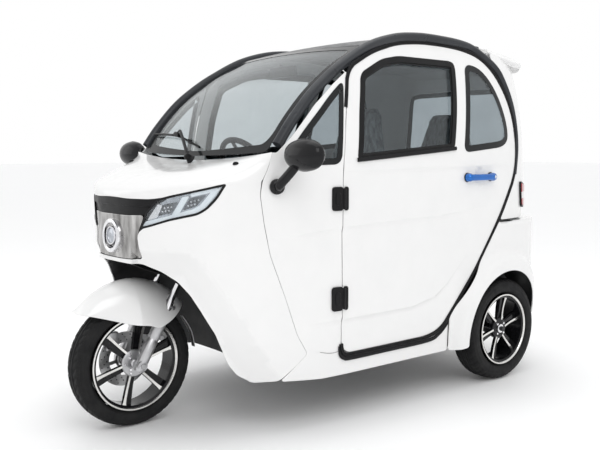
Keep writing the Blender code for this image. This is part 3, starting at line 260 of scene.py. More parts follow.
# ---- mesh helpers --------------------------------------------------------------------------------
def make(name, verts, faces, material, normals=None, smooth_below=40.0):
    """A new object in the row frame from points in stations."""
    mesh = bpy.data.meshes.new(name)
    mesh.from_pydata([(v[0], v[1] - MID_STATION, v[2]) for v in verts], [], [tuple(f) for f in faces])
    mesh.update()
    mesh.shade_smooth()
    if normals is None:
        mesh.set_sharp_from_angle(angle=math.radians(smooth_below))
    else:
        mesh.normals_split_custom_set_from_vertices([tuple(n) for n in normals])
        mesh["has_normals"] = True
    mesh.materials.append(material)
    obj = bpy.data.objects.new(name, mesh)
    bpy.context.scene.collection.objects.link(obj)
    return obj


def outward(obj):
    """Turns all faces of a closed mesh outwards."""
    tool = bmesh.new()
    tool.from_mesh(obj.data)
    bmesh.ops.recalc_face_normals(tool, faces=tool.faces)
    tool.to_mesh(obj.data)
    tool.free()
    return obj


def twin(obj, name):
    """The mirror image of a piece, for the right side."""
    mesh = obj.data
    normals = None
    if "has_normals" in mesh:
        found = {}
        for corner in mesh.loops:
            found[corner.vertex_index] = mesh.corner_normals[corner.index].vector
        normals = [(-found[i][0], found[i][1], found[i][2]) if i in found else (0, 0, 1)
                   for i in range(len(mesh.vertices))]
    verts = [(-v.co.x, v.co.y + MID_STATION, v.co.z) for v in mesh.vertices]
    made = make(name, verts, [tuple(reversed(p.vertices)) for p in mesh.polygons], mesh.materials[0],
                normals)
    for extra in mesh.materials[1:]:
        made.data.materials.append(extra)
    for new, old in zip(made.data.polygons, mesh.polygons):
        new.material_index = old.material_index
    return made


def place(obj, body, nodes=()):
    """Hangs a piece on its CAD body, in place of the nodes that it stands for."""
    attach(obj, body)
    if nodes:
        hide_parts(*([nodes] if isinstance(nodes, str) else nodes))
    return obj


def pair(build, stem, body, node=None):
    """Builds the left piece and its twin; an @ in body and node stands for the side's name."""
    left = build("left_" + stem)
    right = twin(left, "right_" + stem)
    for obj, side_name in ((left, "left"), (right, "right")):
        place(obj, body.replace("@", side_name + "_"), [node.replace("@", side_name + "_")] if node else ())
    return left, right


def skin_pair(part, surface, outline, material, stem, body, node=None, slot=None, **shape):
    """A skin on the left side and its twin on the right."""
    return pair(lambda name: skin(f"{name}.{part}", surface, outline, material, **shape), stem, body, node)


def modified(obj, kind, **values):
    """Adds a modifier and applies it."""
    step = obj.modifiers.new(kind, kind)
    for key, value in values.items():
        setattr(step, key, value)
    graph = bpy.context.evaluated_depsgraph_get()
    mesh = bpy.data.meshes.new_from_object(obj.evaluated_get(graph))
    obj.modifiers.clear()
    obj.data = mesh
    return obj


def rounded(node, width, material, segments=2, spread=35):
    """A copy of a CAD node with its corners rounded."""
    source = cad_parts[node]
    mesh = source.data.copy()
    mesh.materials.clear()
    mesh.materials.append(material)
    obj = bpy.data.objects.new(node + ".look", mesh)
    bpy.context.scene.collection.objects.link(obj)
    tool = bmesh.new()
    tool.from_mesh(mesh)
    bmesh.ops.remove_doubles(tool, verts=tool.verts, dist=1e-5)
    bmesh.ops.dissolve_limit(tool, angle_limit=math.radians(2), verts=tool.verts, edges=tool.edges)
    tool.to_mesh(mesh)
    tool.free()
    if width:
        modified(obj, "BEVEL", width=width, segments=segments, limit_method="ANGLE",
                 angle_limit=math.radians(28), use_clamp_overlap=True)
    obj.data.shade_smooth()
    obj.data.set_sharp_from_angle(angle=math.radians(spread))
    return obj


def lathe(name, profile, centre, material, steps=64, direction=1):
    """An open or closed (x, radius) profile turned about an axis along X."""
    count = len(profile)
    verts, faces = [], []
    for step in range(steps):
        turn = 2 * math.pi * step / steps
        verts += [(centre[0] + direction * x, centre[1] + r * math.cos(turn),
                   centre[2] + r * math.sin(turn))
                  for x, r in profile]
    for step in range(steps):
        here, there = step * count, ((step + 1) % steps) * count
        faces += [(here + i, there + i, there + (i + 1) % count, here + (i + 1) % count)
                  for i in range(count)]
    return outward(make(name, verts, faces, material))


def spline(points, per=8, closed=False):
    """Points along a Catmull-Rom curve through the given points."""
    points = [Vector(p) for p in points]
    count = len(points)
    result = []
    for i in range(count if closed else count - 1):
        if closed:
            a, b, c, d = (points[(i + k) % count] for k in (-1, 0, 1, 2))
        else:
            a, b, c, d = (points[max(0, min(count - 1, i + k))] for k in (-1, 0, 1, 2))
        for k in range(per):
            t = k / per
            result.append(0.5 * (2 * b + (c - a) * t + (2 * a - 5 * b + 4 * c - d) * t * t
                                 + (3 * b - a - 3 * c + d) * t ** 3))
    return result if closed else result + [points[-1]]


def sweep(name, path, section, material, ups=None, closed=False, sizes=None):
    """Sweeps a closed (across, up) section along a path; ups are the section's up directions."""
    count, wide = len(path), len(section)
    verts, faces = [], []
    for i, point in enumerate(path):
        before = path[(i - 1) % count if closed else max(i - 1, 0)]
        after = path[(i + 1) % count if closed else min(i + 1, count - 1)]
        tangent = (Vector(after) - Vector(before)).normalized()
        up = Vector(ups[i] if ups else (0, 0, 1))
        up = (up - up.dot(tangent) * tangent).normalized()
        across = tangent.cross(up)
        size = sizes[i] if sizes else 1.0
        verts += [Vector(point) + size * (a * across + b * up) for a, b in section]
    for i in range(count if closed else count - 1):
        here, there = i * wide, ((i + 1) % count) * wide
        faces += [(here + j, here + (j + 1) % wide, there + (j + 1) % wide, there + j) for j in range(wide)]
    if not closed:
        faces += [tuple(range(wide)), tuple(range((count - 1) * wide, count * wide))]
    return outward(make(name, verts, faces, material))


def oval(wide, high, count=12, power=1.0):
    """A closed section of that half width and half height."""
    shape = []
    for i in range(count):
        turn = 2 * math.pi * i / count
        a, b = math.cos(turn), math.sin(turn)
        shape.append((wide * math.copysign(abs(a) ** power, a), high * math.copysign(abs(b) ** power, b)))
    return shape


def tube(name, start, end, radii, material, count=24, stations=None):
    """A turned bar from start to end, with a radius for each evenly spaced or given station along it."""
    start, end = Vector(start), Vector(end)
    parts = stations or [i / (len(radii) - 1) for i in range(len(radii))]
    along = (end - start).normalized()
    across = along.orthogonal().normalized()
    up = along.cross(across)
    verts, faces = [], []
    for part, radius in zip(parts, radii):
        centre = start.lerp(end, part)
        for i in range(count):
            turn = 2 * math.pi * i / count
            verts.append(centre + radius * (math.cos(turn) * across + math.sin(turn) * up))
    for row in range(len(radii) - 1):
        here, there = row * count, (row + 1) * count
        faces += [(here + i, here + (i + 1) % count, there + (i + 1) % count,
                   there + i) for i in range(count)]
    faces += [tuple(range(count)), tuple(range((len(radii) - 1) * count, len(radii) * count))]
    return outward(make(name, verts, faces, material))


def joined(name, objects):
    """One object out of several, each with its own material."""
    mesh = bpy.data.meshes.new(name)
    tool = bmesh.new()
    materials = []
    for obj in objects:
        slots = []
        for material in obj.data.materials:
            if material not in materials:
                materials.append(material)
            slots.append(materials.index(material))
        first = len(tool.faces)
        tool.from_mesh(obj.data)
        tool.faces.ensure_lookup_table()
        for face in tool.faces[first:]:
            face.material_index = slots[face.material_index]
        bpy.data.objects.remove(obj, do_unlink=True)
    tool.to_mesh(mesh)
    tool.free()
    for material in materials:
        mesh.materials.append(material)
    mesh.shade_smooth()
    mesh.set_sharp_from_angle(angle=math.radians(40))
    made = bpy.data.objects.new(name, mesh)
    bpy.context.scene.collection.objects.link(made)
    return made


# ---- skins over flat outlines --------------------------------------------------------------------
def soften(points, reach=0.03, rounds=3):
    """Rounds the corners of a closed outline by cutting them, by less each time."""
    points = [Vector(p) for p in points]
    for _ in range(rounds):
        cut = []
        for before, here, after in zip(points[-1:] + points[:-1], points, points[1:] + points[:1]):
            for other in (before, after):
                run = other - here
                length = run.length
                cut.append(here + run * (min(0.25 * length, reach) / length if length > 1e-9 else 0.0))
        points = cut
        reach *= 0.45
    return points


def spaced(points, spacing, closed=True):
    """The same line with points no further apart than spacing."""
    result = []
    ends = points[1:] + points[:1] if closed else points[1:]
    for a, b in zip(points, ends):
        a, b = Vector(a), Vector(b)
        if (b - a).length < 1e-6:
            continue
        parts = max(1, math.ceil((b - a).length / spacing))
        result += [a.lerp(b, i / parts) for i in range(parts)]
    return result if closed else result + [Vector(points[-1])]


def within(where, ring):
    """Which of the points lie inside a closed outline."""
    ring = np.array([tuple(p) for p in ring])
    a, b = ring, np.roll(ring, -1, axis=0)
    inside = np.zeros(len(where), bool)
    for (x0, y0), (x1, y1) in zip(a, b):
        if y0 == y1:
            continue
        cross = (y0 > where[:, 1]) != (y1 > where[:, 1])
        inside ^= cross & (where[:, 0] < (x1 - x0) * (where[:, 1] - y0) / (y1 - y0) + x0)
    return inside


def far_from(where, line, closed, least):
    """Which of the points are at least that far from a line."""
    line = np.array([tuple(p) for p in line])
    a, b = (line, np.roll(line, -1, axis=0)) if closed else (line[:-1], line[1:])
    clear = np.ones(len(where), bool)
    for p, q in zip(a, b):
        run = q - p
        part = np.clip(((where - p) @ run) / max(run @ run, 1e-12), 0, 1)
        clear &= np.hypot(*(where - (p + part[:, None] * run)).T) > least
    return clear


def fill(outline, holes, folds, spacing):
    """Triangles that fill an outline around its holes, with edges along the folds."""
    rings = [spaced(list(ring), spacing) for ring in [outline, *holes]]
    lines = [spaced(list(line), spacing, closed=False) for line in folds]
    points, edges = [], []
    for ring in rings:
        first = len(points)
        points += ring
        edges += [(first + i, first + (i + 1) % len(ring)) for i in range(len(ring))]
    for line in lines:
        first = len(points)
        points += line
        edges += [(first + i, first + i + 1) for i in range(len(line) - 1)]
    edge = np.array([tuple(p) for p in rings[0]])
    low, high = edge.min(0), edge.max(0)
    rows = np.arange(low[1] + spacing / 2, high[1], spacing * 0.87)
    grid = np.array([(x + (spacing / 2 if i % 2 else 0), y) for i, y in enumerate(rows)
                     for x in np.arange(low[0] + spacing * 0.4, high[0], spacing)])
    if len(grid):
        keep = within(grid, rings[0])
        for ring in rings:
            keep &= far_from(grid, ring, True, spacing * 0.55)
        for line in lines:
            keep &= far_from(grid, line, False, spacing * 0.5)
        points += [Vector(p) for p in grid[keep]]
    verts, _, faces, _, _, _ = delaunay_2d_cdt(points, edges, [], 0, 1e-7)
    flat = np.array([tuple(v) for v in verts])
    faces = [f for f in faces if len(f) == 3]
    centres = np.array([flat[list(f)].mean(0) for f in faces])
    inside = within(centres, rings[0])
    for ring in rings[1:]:
        inside &= ~within(centres, ring)
    kept = []
    for face, good in zip(faces, inside):
        a, b, c = flat[list(face)]
        if good and abs((b[0] - a[0]) * (c[1] - a[1]) - (b[1] - a[1]) * (c[0] - a[0])) > 1e-9:
            kept.append(tuple(face))
    return flat, kept


def skin(name, surface, outline, material, holes=(), folds=(), spacing=0.022, thickness=0.004, roll=0.0012,
         depth=0.0):
    """A shell on surface(u, v), with rolled edges and exact normals, over a flat outline."""
    flat, triangles = fill(outline, holes, folds, spacing)
    used = sorted({i for t in triangles for i in t})
    number = {old: new for new, old in enumerate(used)}
    triangles = [tuple(number[i] for i in t) for t in triangles]
    points, normals = [], []
    step = 2e-4
    for i in used:
        u, v = float(flat[i][0]), float(flat[i][1])
        du = surface(u + step, v) - surface(u - step, v)
        dv = surface(u, v + step) - surface(u, v - step)
        normal = du.cross(dv).normalized()
        points.append(surface(u, v) - depth * normal)
        normals.append(normal)
    count = len(points)
    known = {(a, b) for t in triangles for a, b in zip(t, t[1:] + t[:1])}
    border = [(a, b) for a, b in known if (b, a) not in known]
    out = {}
    for a, b in sorted(border):
        run = points[b] - points[a]
        for i in (a, b):
            out[i] = out.get(i, Vector((0, 0, 0))) + run.cross(normals[i]).normalized()
    verts = list(points) + [p - thickness * n for p, n in zip(points, normals)]
    shading = list(normals) + [-n for n in normals]
    faces = list(triangles) + [tuple(i + count for i in reversed(t)) for t in triangles]
    turns = [math.radians(a) for a in (0, 30, 60, 90)]
    ring_index = {}
    for i, direction in out.items():
        direction = direction.normalized()
        ring_index[i] = len(verts)
        for turn in turns:
            outwards = math.sin(turn) * direction - (1 - math.cos(turn)) * normals[i]
            verts.append(points[i] + roll * outwards)
            shading.append((math.cos(turn) * normals[i] + math.sin(turn) * direction).normalized())
        verts.append(points[i] + roll * direction - thickness * normals[i])
        shading.append(direction)
        verts.append(points[i] + roll * direction - thickness * normals[i])
        shading.append(-normals[i])
    for a, b in border:
        ra, rb = ring_index[a], ring_index[b]
        for k in range(4):
            faces.append((ra + k, ra + k + 1, rb + k + 1, rb + k))
        faces.append((ra + 5, a + count, b + count, rb + 5))
    return make(name, verts, faces, material, shading)


def drawn_in(points, amount):
    """Moves a closed outline inwards by amount, or outwards when it is negative."""
    points = [Vector(p) for p in points]
    area = sum(a[0] * b[1] - b[0] * a[1] for a, b in zip(points, points[1:] + points[:1]))
    turn = -1 if area > 0 else 1
    moved = []
    for before, here, after in zip(points[-1:] + points[:-1], points, points[1:] + points[:1]):
        first, second = (here - before).normalized(), (after - here).normalized()
        normal = Vector((first.y + second.y, -first.x - second.x)) * turn
        normal.normalize()
        lean_by = max(0.4, abs(normal.dot(Vector((first.y, -first.x)))))
        moved.append(here + normal * amount / lean_by)
    return moved


# ---- the body's surfaces, in stations ------------------------------------------------------------
def lean(z):
    """How far the side is inside its widest line, at a height."""
    above = max(0.0, z - BELT_CENTRE_Z)
    below = max(0.0, SILL_Z - z)
    return SIDE_RADIUS - math.sqrt(SIDE_RADIUS ** 2 - above ** 2) + 0.16 * below ** 1.5


def half_width(y):
    """Half of the body's width in plan, at a station."""
    if y < FRONT_ARC_START:
        part, power = (FRONT_ARC_START - y) / (FRONT_ARC_START - NOSE_STATION), FRONT_POWER
    elif y > REAR_ARC_START:
        part, power = (y - REAR_ARC_START) / (TAIL_STATION - REAR_ARC_START), REAR_POWER
    else:
        return BODY_HALF_WIDTH
    return BODY_HALF_WIDTH * max(0.0, 1.0 - min(part, 1.0) ** power) ** (1.0 / power)


def height_on(line, y):
    """Height of a (station, height) crease line at a station, or None beyond its ends."""
    for (y0, z0), (y1, z1) in zip(line, line[1:]):
        if y0 <= y <= y1:
            return z0 + (z1 - z0) * (y - y0) / (y1 - y0)
    return None


def crease_step(y, z):
    """How far the pressed lines draw the side in below them."""
    total = 0.0
    for line, depth, fade in CREASES:
        level = height_on(line, y)
        if level is None or z > level:
            continue
        below = level - z
        ends = min(1.0, (y - line[0][0]) / 0.18, (line[-1][0] - y) / 0.30)
        total += depth * ends * (1 - math.exp(-(below / 0.012) ** 2)) * math.exp(-below / fade)
    return total


def side(y, z):
    """The body's plain side: doors, frames and fixed glass share it."""
    return Vector((half_width(y) - lean(z), y, z))


def pressed_side(y, z):
    """The side with its pressed lines and the round recess behind the handle."""
    dish = math.hypot(y - HANDLE_SPOT[0], (z - HANDLE_SPOT[1]))
    hollow = 0.007 * max(0.0, 1 - (dish / 0.043) ** 2) if dish < 0.043 else 0.0
    return Vector((half_width(y) - lean(z) - crease_step(y, z) - hollow, y, z))


def nose_angle(x):
    """The nose's flat coordinate for a sideways distance."""
    return math.copysign(math.asin((abs(x) / BODY_HALF_WIDTH) ** (FRONT_POWER / 2)), x) * PLAN_SCALE


def on_nose(points):
    """An outline given by sideways distance and height, in the nose's flat domain."""
    return [(nose_angle(x), z) for x, z in points]


def distance_to(point, line):
    """Shortest distance from a point to a line."""
    best = 1e9
    point = Vector(point)
    for a, b in zip(line, line[1:]):
        a, b = Vector(a), Vector(b)
        run = b - a
        part = max(0.0, min(1.0, (point - a).dot(run) / max(run.length_squared, 1e-12)))
        best = min(best, (a + part * run - point).length)
    return best


def nose(u, w):
    """The nose wall below the hood edge, and the hood above it."""
    angle = u / PLAN_SCALE
    across = math.copysign(abs(math.sin(angle)) ** (2 / FRONT_POWER), angle)
    reach = (FRONT_ARC_START - NOSE_STATION) * abs(math.cos(angle)) ** (2 / FRONT_POWER)
    edge_z = 0.940 + 0.065 * abs(across) ** 1.6
    x, y = BODY_HALF_WIDTH * across, FRONT_ARC_START - reach
    if w <= edge_z:
        tuck = lean(w)
        for (u0, z0), (u1, z1) in zip(CREASE_FLAT, CREASE_FLAT[1:]):
            if u0 <= abs(u) <= u1 and w < z0 + (z1 - z0) * (abs(u) - u0) / (u1 - u0):
                tuck += 0.55 * min(0.10, distance_to((abs(u), w), CREASE_FLAT))
                break
        return Vector((x * (1 - tuck / BODY_HALF_WIDTH), y + tuck * 0.6, w))
    part = (w - edge_z) / (HOOD_TOP - edge_z)
    edge = Vector((x, y, edge_z))
    corner = Vector((x, y + 0.006, edge_z + 0.055 - 0.03 * abs(across)))
    wide = 0.572 * across
    base = Vector((wide, 0.300 + 0.12 * wide ** 2, 1.068 + 0.125 * wide ** 2))
    return (1 - part) ** 2 * edge + 2 * part * (1 - part) * corner + part ** 2 * base


def tail_table(power):
    """Columns of length from the middle, x, y and the normal along a tail's plan outline."""
    corner = 0.5 ** (1 / power)
    shares = [corner * i / 200 for i in range(201)]
    pairs = [(a, (1 - a ** power) ** (1 / power)) for a in shares]
    pairs += [(b, a) for a, b in reversed(pairs[:-1])]
    reach = TAIL_STATION - REAR_ARC_START
    rows, length = [], 0.0
    for a, b in pairs:
        x, y = BODY_HALF_WIDTH * a, REAR_ARC_START + reach * b
        if rows:
            length += math.hypot(x - rows[-1][1], y - rows[-1][2])
        normal = Vector((a ** (power - 1) / BODY_HALF_WIDTH, b ** (power - 1) / reach)).normalized()
        rows.append((length, x, y, normal.x, normal.y))
    return np.array(rows)


TAIL_ROWS = {power: tail_table(power) for power in (REAR_POWER, TAIL_LOW_POWER)}


def tail_row(power, u):
    """x, y and the normal of a tail at a length along its plan outline."""
    rows = TAIL_ROWS[power]
    return [float(np.interp(abs(u), rows[:, 0], rows[:, k])) for k in range(1, 5)]


def cabin_tail(u, z):
    """The cabin's rear, outer face; u is the length along the plan outline, positive on the left."""
    x, y, normal_x, normal_y = tail_row(REAR_POWER, u)
    x, y = x + (0.004 - lean(z)) * normal_x, y + (0.004 - 0.6 * lean(z)) * normal_y
    return Vector((math.copysign(x, u), y, z))


def low_tail(u, z):
    """The bumper and both rear fenders, outer face, with a ledge turned in above LEDGE_Z."""
    x, y, normal_x, normal_y = tail_row(TAIL_LOW_POWER, u)
    y += 0.030 * (y - REAR_ARC_START) / (TAIL_STATION - REAR_ARC_START)
    radius = math.hypot(y - REAR_AXLE_STATION, z - REAR_TYRE_R)
    part = max(0.0, min(1.0, (radius - 0.335) / 0.06))
    bulge = 0.036 * (1.0 - part * part * (3 - 2 * part)) * (x / BODY_HALF_WIDTH) ** 3
    out = 0.008 - lean(z) + bulge
    inward = max(0.0, z - LEDGE_Z)
    x, y = x + (out - inward) * normal_x, y - inward * normal_y
    return Vector((math.copysign(x, u), y, min(z, LEDGE_Z + 0.03 * inward)))


def flipped(surface):
    """The same surface with its flat domain mirrored, so that its normals point outwards at the tail."""
    return lambda u, z: surface(-u, z)


def on_tail(points, surface):
    """An outline given by station and height, in a tail's flat domain."""
    moved = []
    for station, z in points:
        low, high = 0.0, 1.33
        for _ in range(24):
            middle = (low + high) / 2
            if surface(middle, z).y > station:
                low = middle
            else:
                high = middle
        moved.append((middle, z))
    return moved


def curve_at(rows, part):
    """The point at part, 0 to 1, of a curve given as many points."""
    spot = max(0.0, min(len(rows) - 1.000001, part * (len(rows) - 1)))
    first = int(spot)
    return rows[first].lerp(rows[first + 1], spot - first)


def screen(u, v):
    """The windscreen, -1 to 1 across and 0 to 1 upwards."""
    edge, centre = curve_at(SCREEN_EDGE_CURVE, v), curve_at(SCREEN_CENTRE_CURVE, v)
    share = min(1.0, u * u)
    return Vector((u * edge.x, centre.y + (edge.y - centre.y) * share,
                   centre.z + (edge.z - centre.z) * share))


def roof(x, y):
    """The roof, with the spoiler turned down behind."""
    crest = 1.622 - 0.42 * max(0.0, 1.27 - y) ** 2 - 0.19 * max(0.0, y - 1.45) ** 2
    drop = 0.030 * max(0.0, (y - 1.95) / 0.08) ** 2
    drop = drop + 0.02 * max(0.0, (abs(x) - 0.40) / 0.05) ** 2 * (y > 1.70)
    return Vector((x, y, crest - 0.075 * x * x - drop))


def drop_glass(y, z):
    """The door's sliding glass."""
    return Vector((WINDOW_X - SIDE_RADIUS + math.sqrt(SIDE_RADIUS ** 2 - (z - BELT_CENTRE_Z) ** 2), y, z))


def door_trim(y, z):
    """The inner trim, drawn inwards away from its outline."""
    tall = [(y_, z_ if z_ < 1.0 else 1.3) for y_, z_ in DOOR_TRIM]
    part = min(1.0, distance_to((y, z), tall + tall[:1]) / 0.06)
    return side(y, z) - Vector((0.010 + 0.050 * part * part * (3 - 2 * part), 0, 0))


def fork_point(x, distance, behind=0.0):
    """A point by its distance up the fork from the front axle."""
    up, back = Vector((0, math.sin(RAKE), math.cos(RAKE))), Vector((0, math.cos(RAKE), -math.sin(RAKE)))
    return Vector((x, 0, FRONT_TYRE_R)) + distance * up + behind * back


def fender_skin(v, turn):
    """The front fender: v across, -1 to 1, and turn the angle behind the top of the wheel."""
    depth = 0.175 * (1 - abs(turn - 0.2) ** 3)
    lateral = 0.050 + 0.068 * min(1.0, max(0.0, (turn + 0.80) / 0.75)) ** 0.7
    radius = 0.340 - 0.028 * turn * turn - depth * (1 - math.cos(v * math.pi / 2))
    return Vector((lateral * math.sin(v * math.pi / 2), radius * math.sin(turn),
                   FRONT_TYRE_R + radius * math.cos(turn)))


# ---- outlines ------------------------------------------------------------------------------------
ARCH_CREASE = [(0.289, 0.734), (0.364, 0.728), (0.400, 0.684), (0.450, 0.550), (0.490, 0.372),
               (0.530, 0.190)]
CREASE_FLAT = on_nose([(0.150, 0.733)] + ARCH_CREASE)
ARCH_EDGE = [(0.182, 0.674), (0.256, 0.651), (0.319, 0.611), (0.356, 0.562), (0.383, 0.504), (0.419, 0.409),
             (0.445, 0.288), (0.461, 0.243), (0.485, 0.208)]
SEAM_TOP = [(0.505, HOOD_TOP), (0.504, 1.200), (0.502, 1.100)]
SEAM = [(0.500, 1.016), (0.497, 0.942), (0.502, 0.829), (0.509, 0.714), (0.526, 0.537), (0.536, 0.395),
        (0.544, 0.313), (0.536, 0.271), (0.519, 0.215)]
NOSE_OPENING = [(0.0, 0.930), (0.12, 0.926), (0.234, 0.927), (0.308, 0.938), (0.366, 0.955), (0.447, 0.989),
                (0.430, 0.930), (0.408, 0.890), (0.386, 0.868), (0.307, 0.846), (0.200, 0.814),
                (0.172, 0.790), (0.176, 0.755), (0.190, 0.692), (0.10, 0.688), (0.0, 0.688)]
LAMP_RIM = [(0.178, 0.800), (0.189, 0.812), (0.233, 0.823), (0.307, 0.848), (0.385, 0.871), (0.407, 0.892),
            (0.428, 0.931), (0.446, 0.985), (0.402, 0.968), (0.366, 0.956), (0.308, 0.940), (0.262, 0.926),
            (0.214, 0.872)]
NOSE_PANEL = [(0.0, 0.858), (0.10, 0.857), (0.200, 0.862), (0.172, 0.805), (0.166, 0.785), (0.170, 0.750),
              (0.184, 0.698), (0.10, 0.694), (0.0, 0.694)]
GRILLE_TOP = [(0.0, 0.926), (0.12, 0.922), (0.234, 0.923), (0.300, 0.936), (0.262, 0.912), (0.232, 0.900),
              (0.12, 0.897), (0.0, 0.899)]
GRILLE_LOW = [(0.0, 0.896), (0.12, 0.894), (0.229, 0.896), (0.206, 0.866), (0.10, 0.861), (0.0, 0.862)]
DOOR = [(0.655, 0.290), (0.654, 0.712), (0.656, 1.031), (0.679, 1.229), (0.725, 1.430), (0.880, 1.508),
        (1.040, 1.556), (1.190, 1.572), (1.340, 1.572), (1.479, 1.562), (1.590, 1.535), (1.675, 1.475),
        (1.752, 1.366), (1.796, 1.256), (1.814, 1.111), (1.792, 0.989), (1.662, 0.801), (1.470, 0.555),
        (1.312, 0.386), (1.250, 0.316), (1.162, 0.291)]
DOOR_TRIM = [(0.680, 0.322), (0.680, 0.712), (0.681, 1.030), (1.773, 1.030), (1.762, 0.985), (1.632, 0.800),
             (1.440, 0.560), (1.285, 0.412), (1.235, 0.348), (1.155, 0.320)]
FRONT_PANE = [(0.729, 1.062), (0.752, 1.260), (0.787, 1.420), (0.927, 1.488), (1.033, 1.508),
              (1.375, 1.508), (1.394, 1.490), (1.360, 1.300), (1.322, 1.108)]
REAR_PANE = [(1.388, 1.096), (1.425, 1.310), (1.466, 1.505), (1.561, 1.495), (1.628, 1.445), (1.680, 1.370),
             (1.720, 1.278), (1.738, 1.200), (1.730, 1.150), (1.677, 1.122)]
TRIANGLE = [(0.688, 1.392), (0.604, 1.325), (0.469, 1.187), (0.392, 1.092), (0.456, 1.048), (0.645, 1.052),
            (0.664, 1.229)]
FRAME_TOP = [(0.713, 1.425), (0.630, 1.367), (0.530, 1.283), (0.430, 1.172), (0.352, 1.096)]
LOWER_TAIL_FRONT = [(1.655, 0.772), (1.481, 0.547), (1.323, 0.377), (1.304, 0.352), (1.312, 0.200)]
UPPER_TAIL_FRONT = [(1.668, 0.780), (1.812, 0.985), (1.834, 1.111), (1.816, 1.260), (1.774, 1.376),
                    (1.718, 1.470), (1.690, 1.510), (1.690, 1.572)]
TAIL_LAMP = [(1.858, 0.958), (1.960, 0.935), (1.975, 0.905), (1.972, 0.850), (1.950, 0.822), (1.880, 0.830)]
PILLAR = [(0.500, 0.368, 1.128), (0.500, 0.430, 1.210), (0.497, 0.530, 1.318), (0.488, 0.630, 1.398),
          (0.478, 0.726, 1.460), (0.466, 0.880, 1.540), (0.458, 1.040, 1.587), (0.455, 1.190, 1.604),
          (0.455, 1.340, 1.604), (0.453, 1.480, 1.596), (0.450, 1.580, 1.576), (0.451, 1.650, 1.545)]
RAIL_FOOT = [(1.700, 1.500), (1.762, 1.415), (1.803, 1.320), (1.823, 1.215), (1.826, 1.111), (1.806, 0.992)]
SCREEN_EDGE_CURVE = spline([(0.466, 0.345, 1.098), (0.466, 0.430, 1.215), (0.463, 0.530, 1.323),
                            (0.454, 0.630, 1.402), (0.444, 0.726, 1.466), (0.432, 0.880, 1.546)], 10)
SCREEN_CENTRE_CURVE = spline([(0, 0.312, 1.082), (0, 0.400, 1.215), (0, 0.500, 1.330), (0, 0.610, 1.425),
                              (0, 0.730, 1.497), (0, 0.870, 1.558)], 10)
CREASES = [
    ([(0.640, 1.028), (0.704, 1.030), (0.972, 1.035), (1.362, 1.039), (1.820, 1.048)], 0.006, 0.12),
    ([(0.300, 0.774), (0.435, 0.788), (0.674, 0.807), (0.975, 0.820), (1.229, 0.824), (1.600, 0.860)],
     0.0065, 0.20),
    ([(0.480, 0.432), (0.662, 0.435), (1.056, 0.438), (1.205, 0.465), (1.285, 0.515), (1.450, 0.665)],
     0.009, 0.12)]
HANDLE_SPOT = (1.5075, 0.986)


def whole(half):
    """A half outline with its mirror image."""
    return list(half) + [(-p[0], p[1]) for p in reversed(list(half)) if p[0] > 1e-6]


def arc_points(centre, radius, start, end, count):
    """Points on an arc, in degrees."""
    turns = [math.radians(start + (end - start) * i / (count - 1)) for i in range(count)]
    return [(centre[0] + radius * math.cos(t), centre[1] + radius * math.sin(t)) for t in turns]


def crease_folds(low_y, high_y):
    """Fold lines along and just below each pressed line, between two stations."""
    lines = []
    for line, _, _ in CREASES:
        for below in (0.0, 0.006, 0.014, 0.028):
            stations = np.arange(max(low_y, line[0][0]) + 0.004, min(high_y, line[-1][0]) - 0.004, 0.05)
            if len(stations) > 1:
                lines.append([(float(y), height_on(line, float(y)) - below) for y in stations])
    return lines


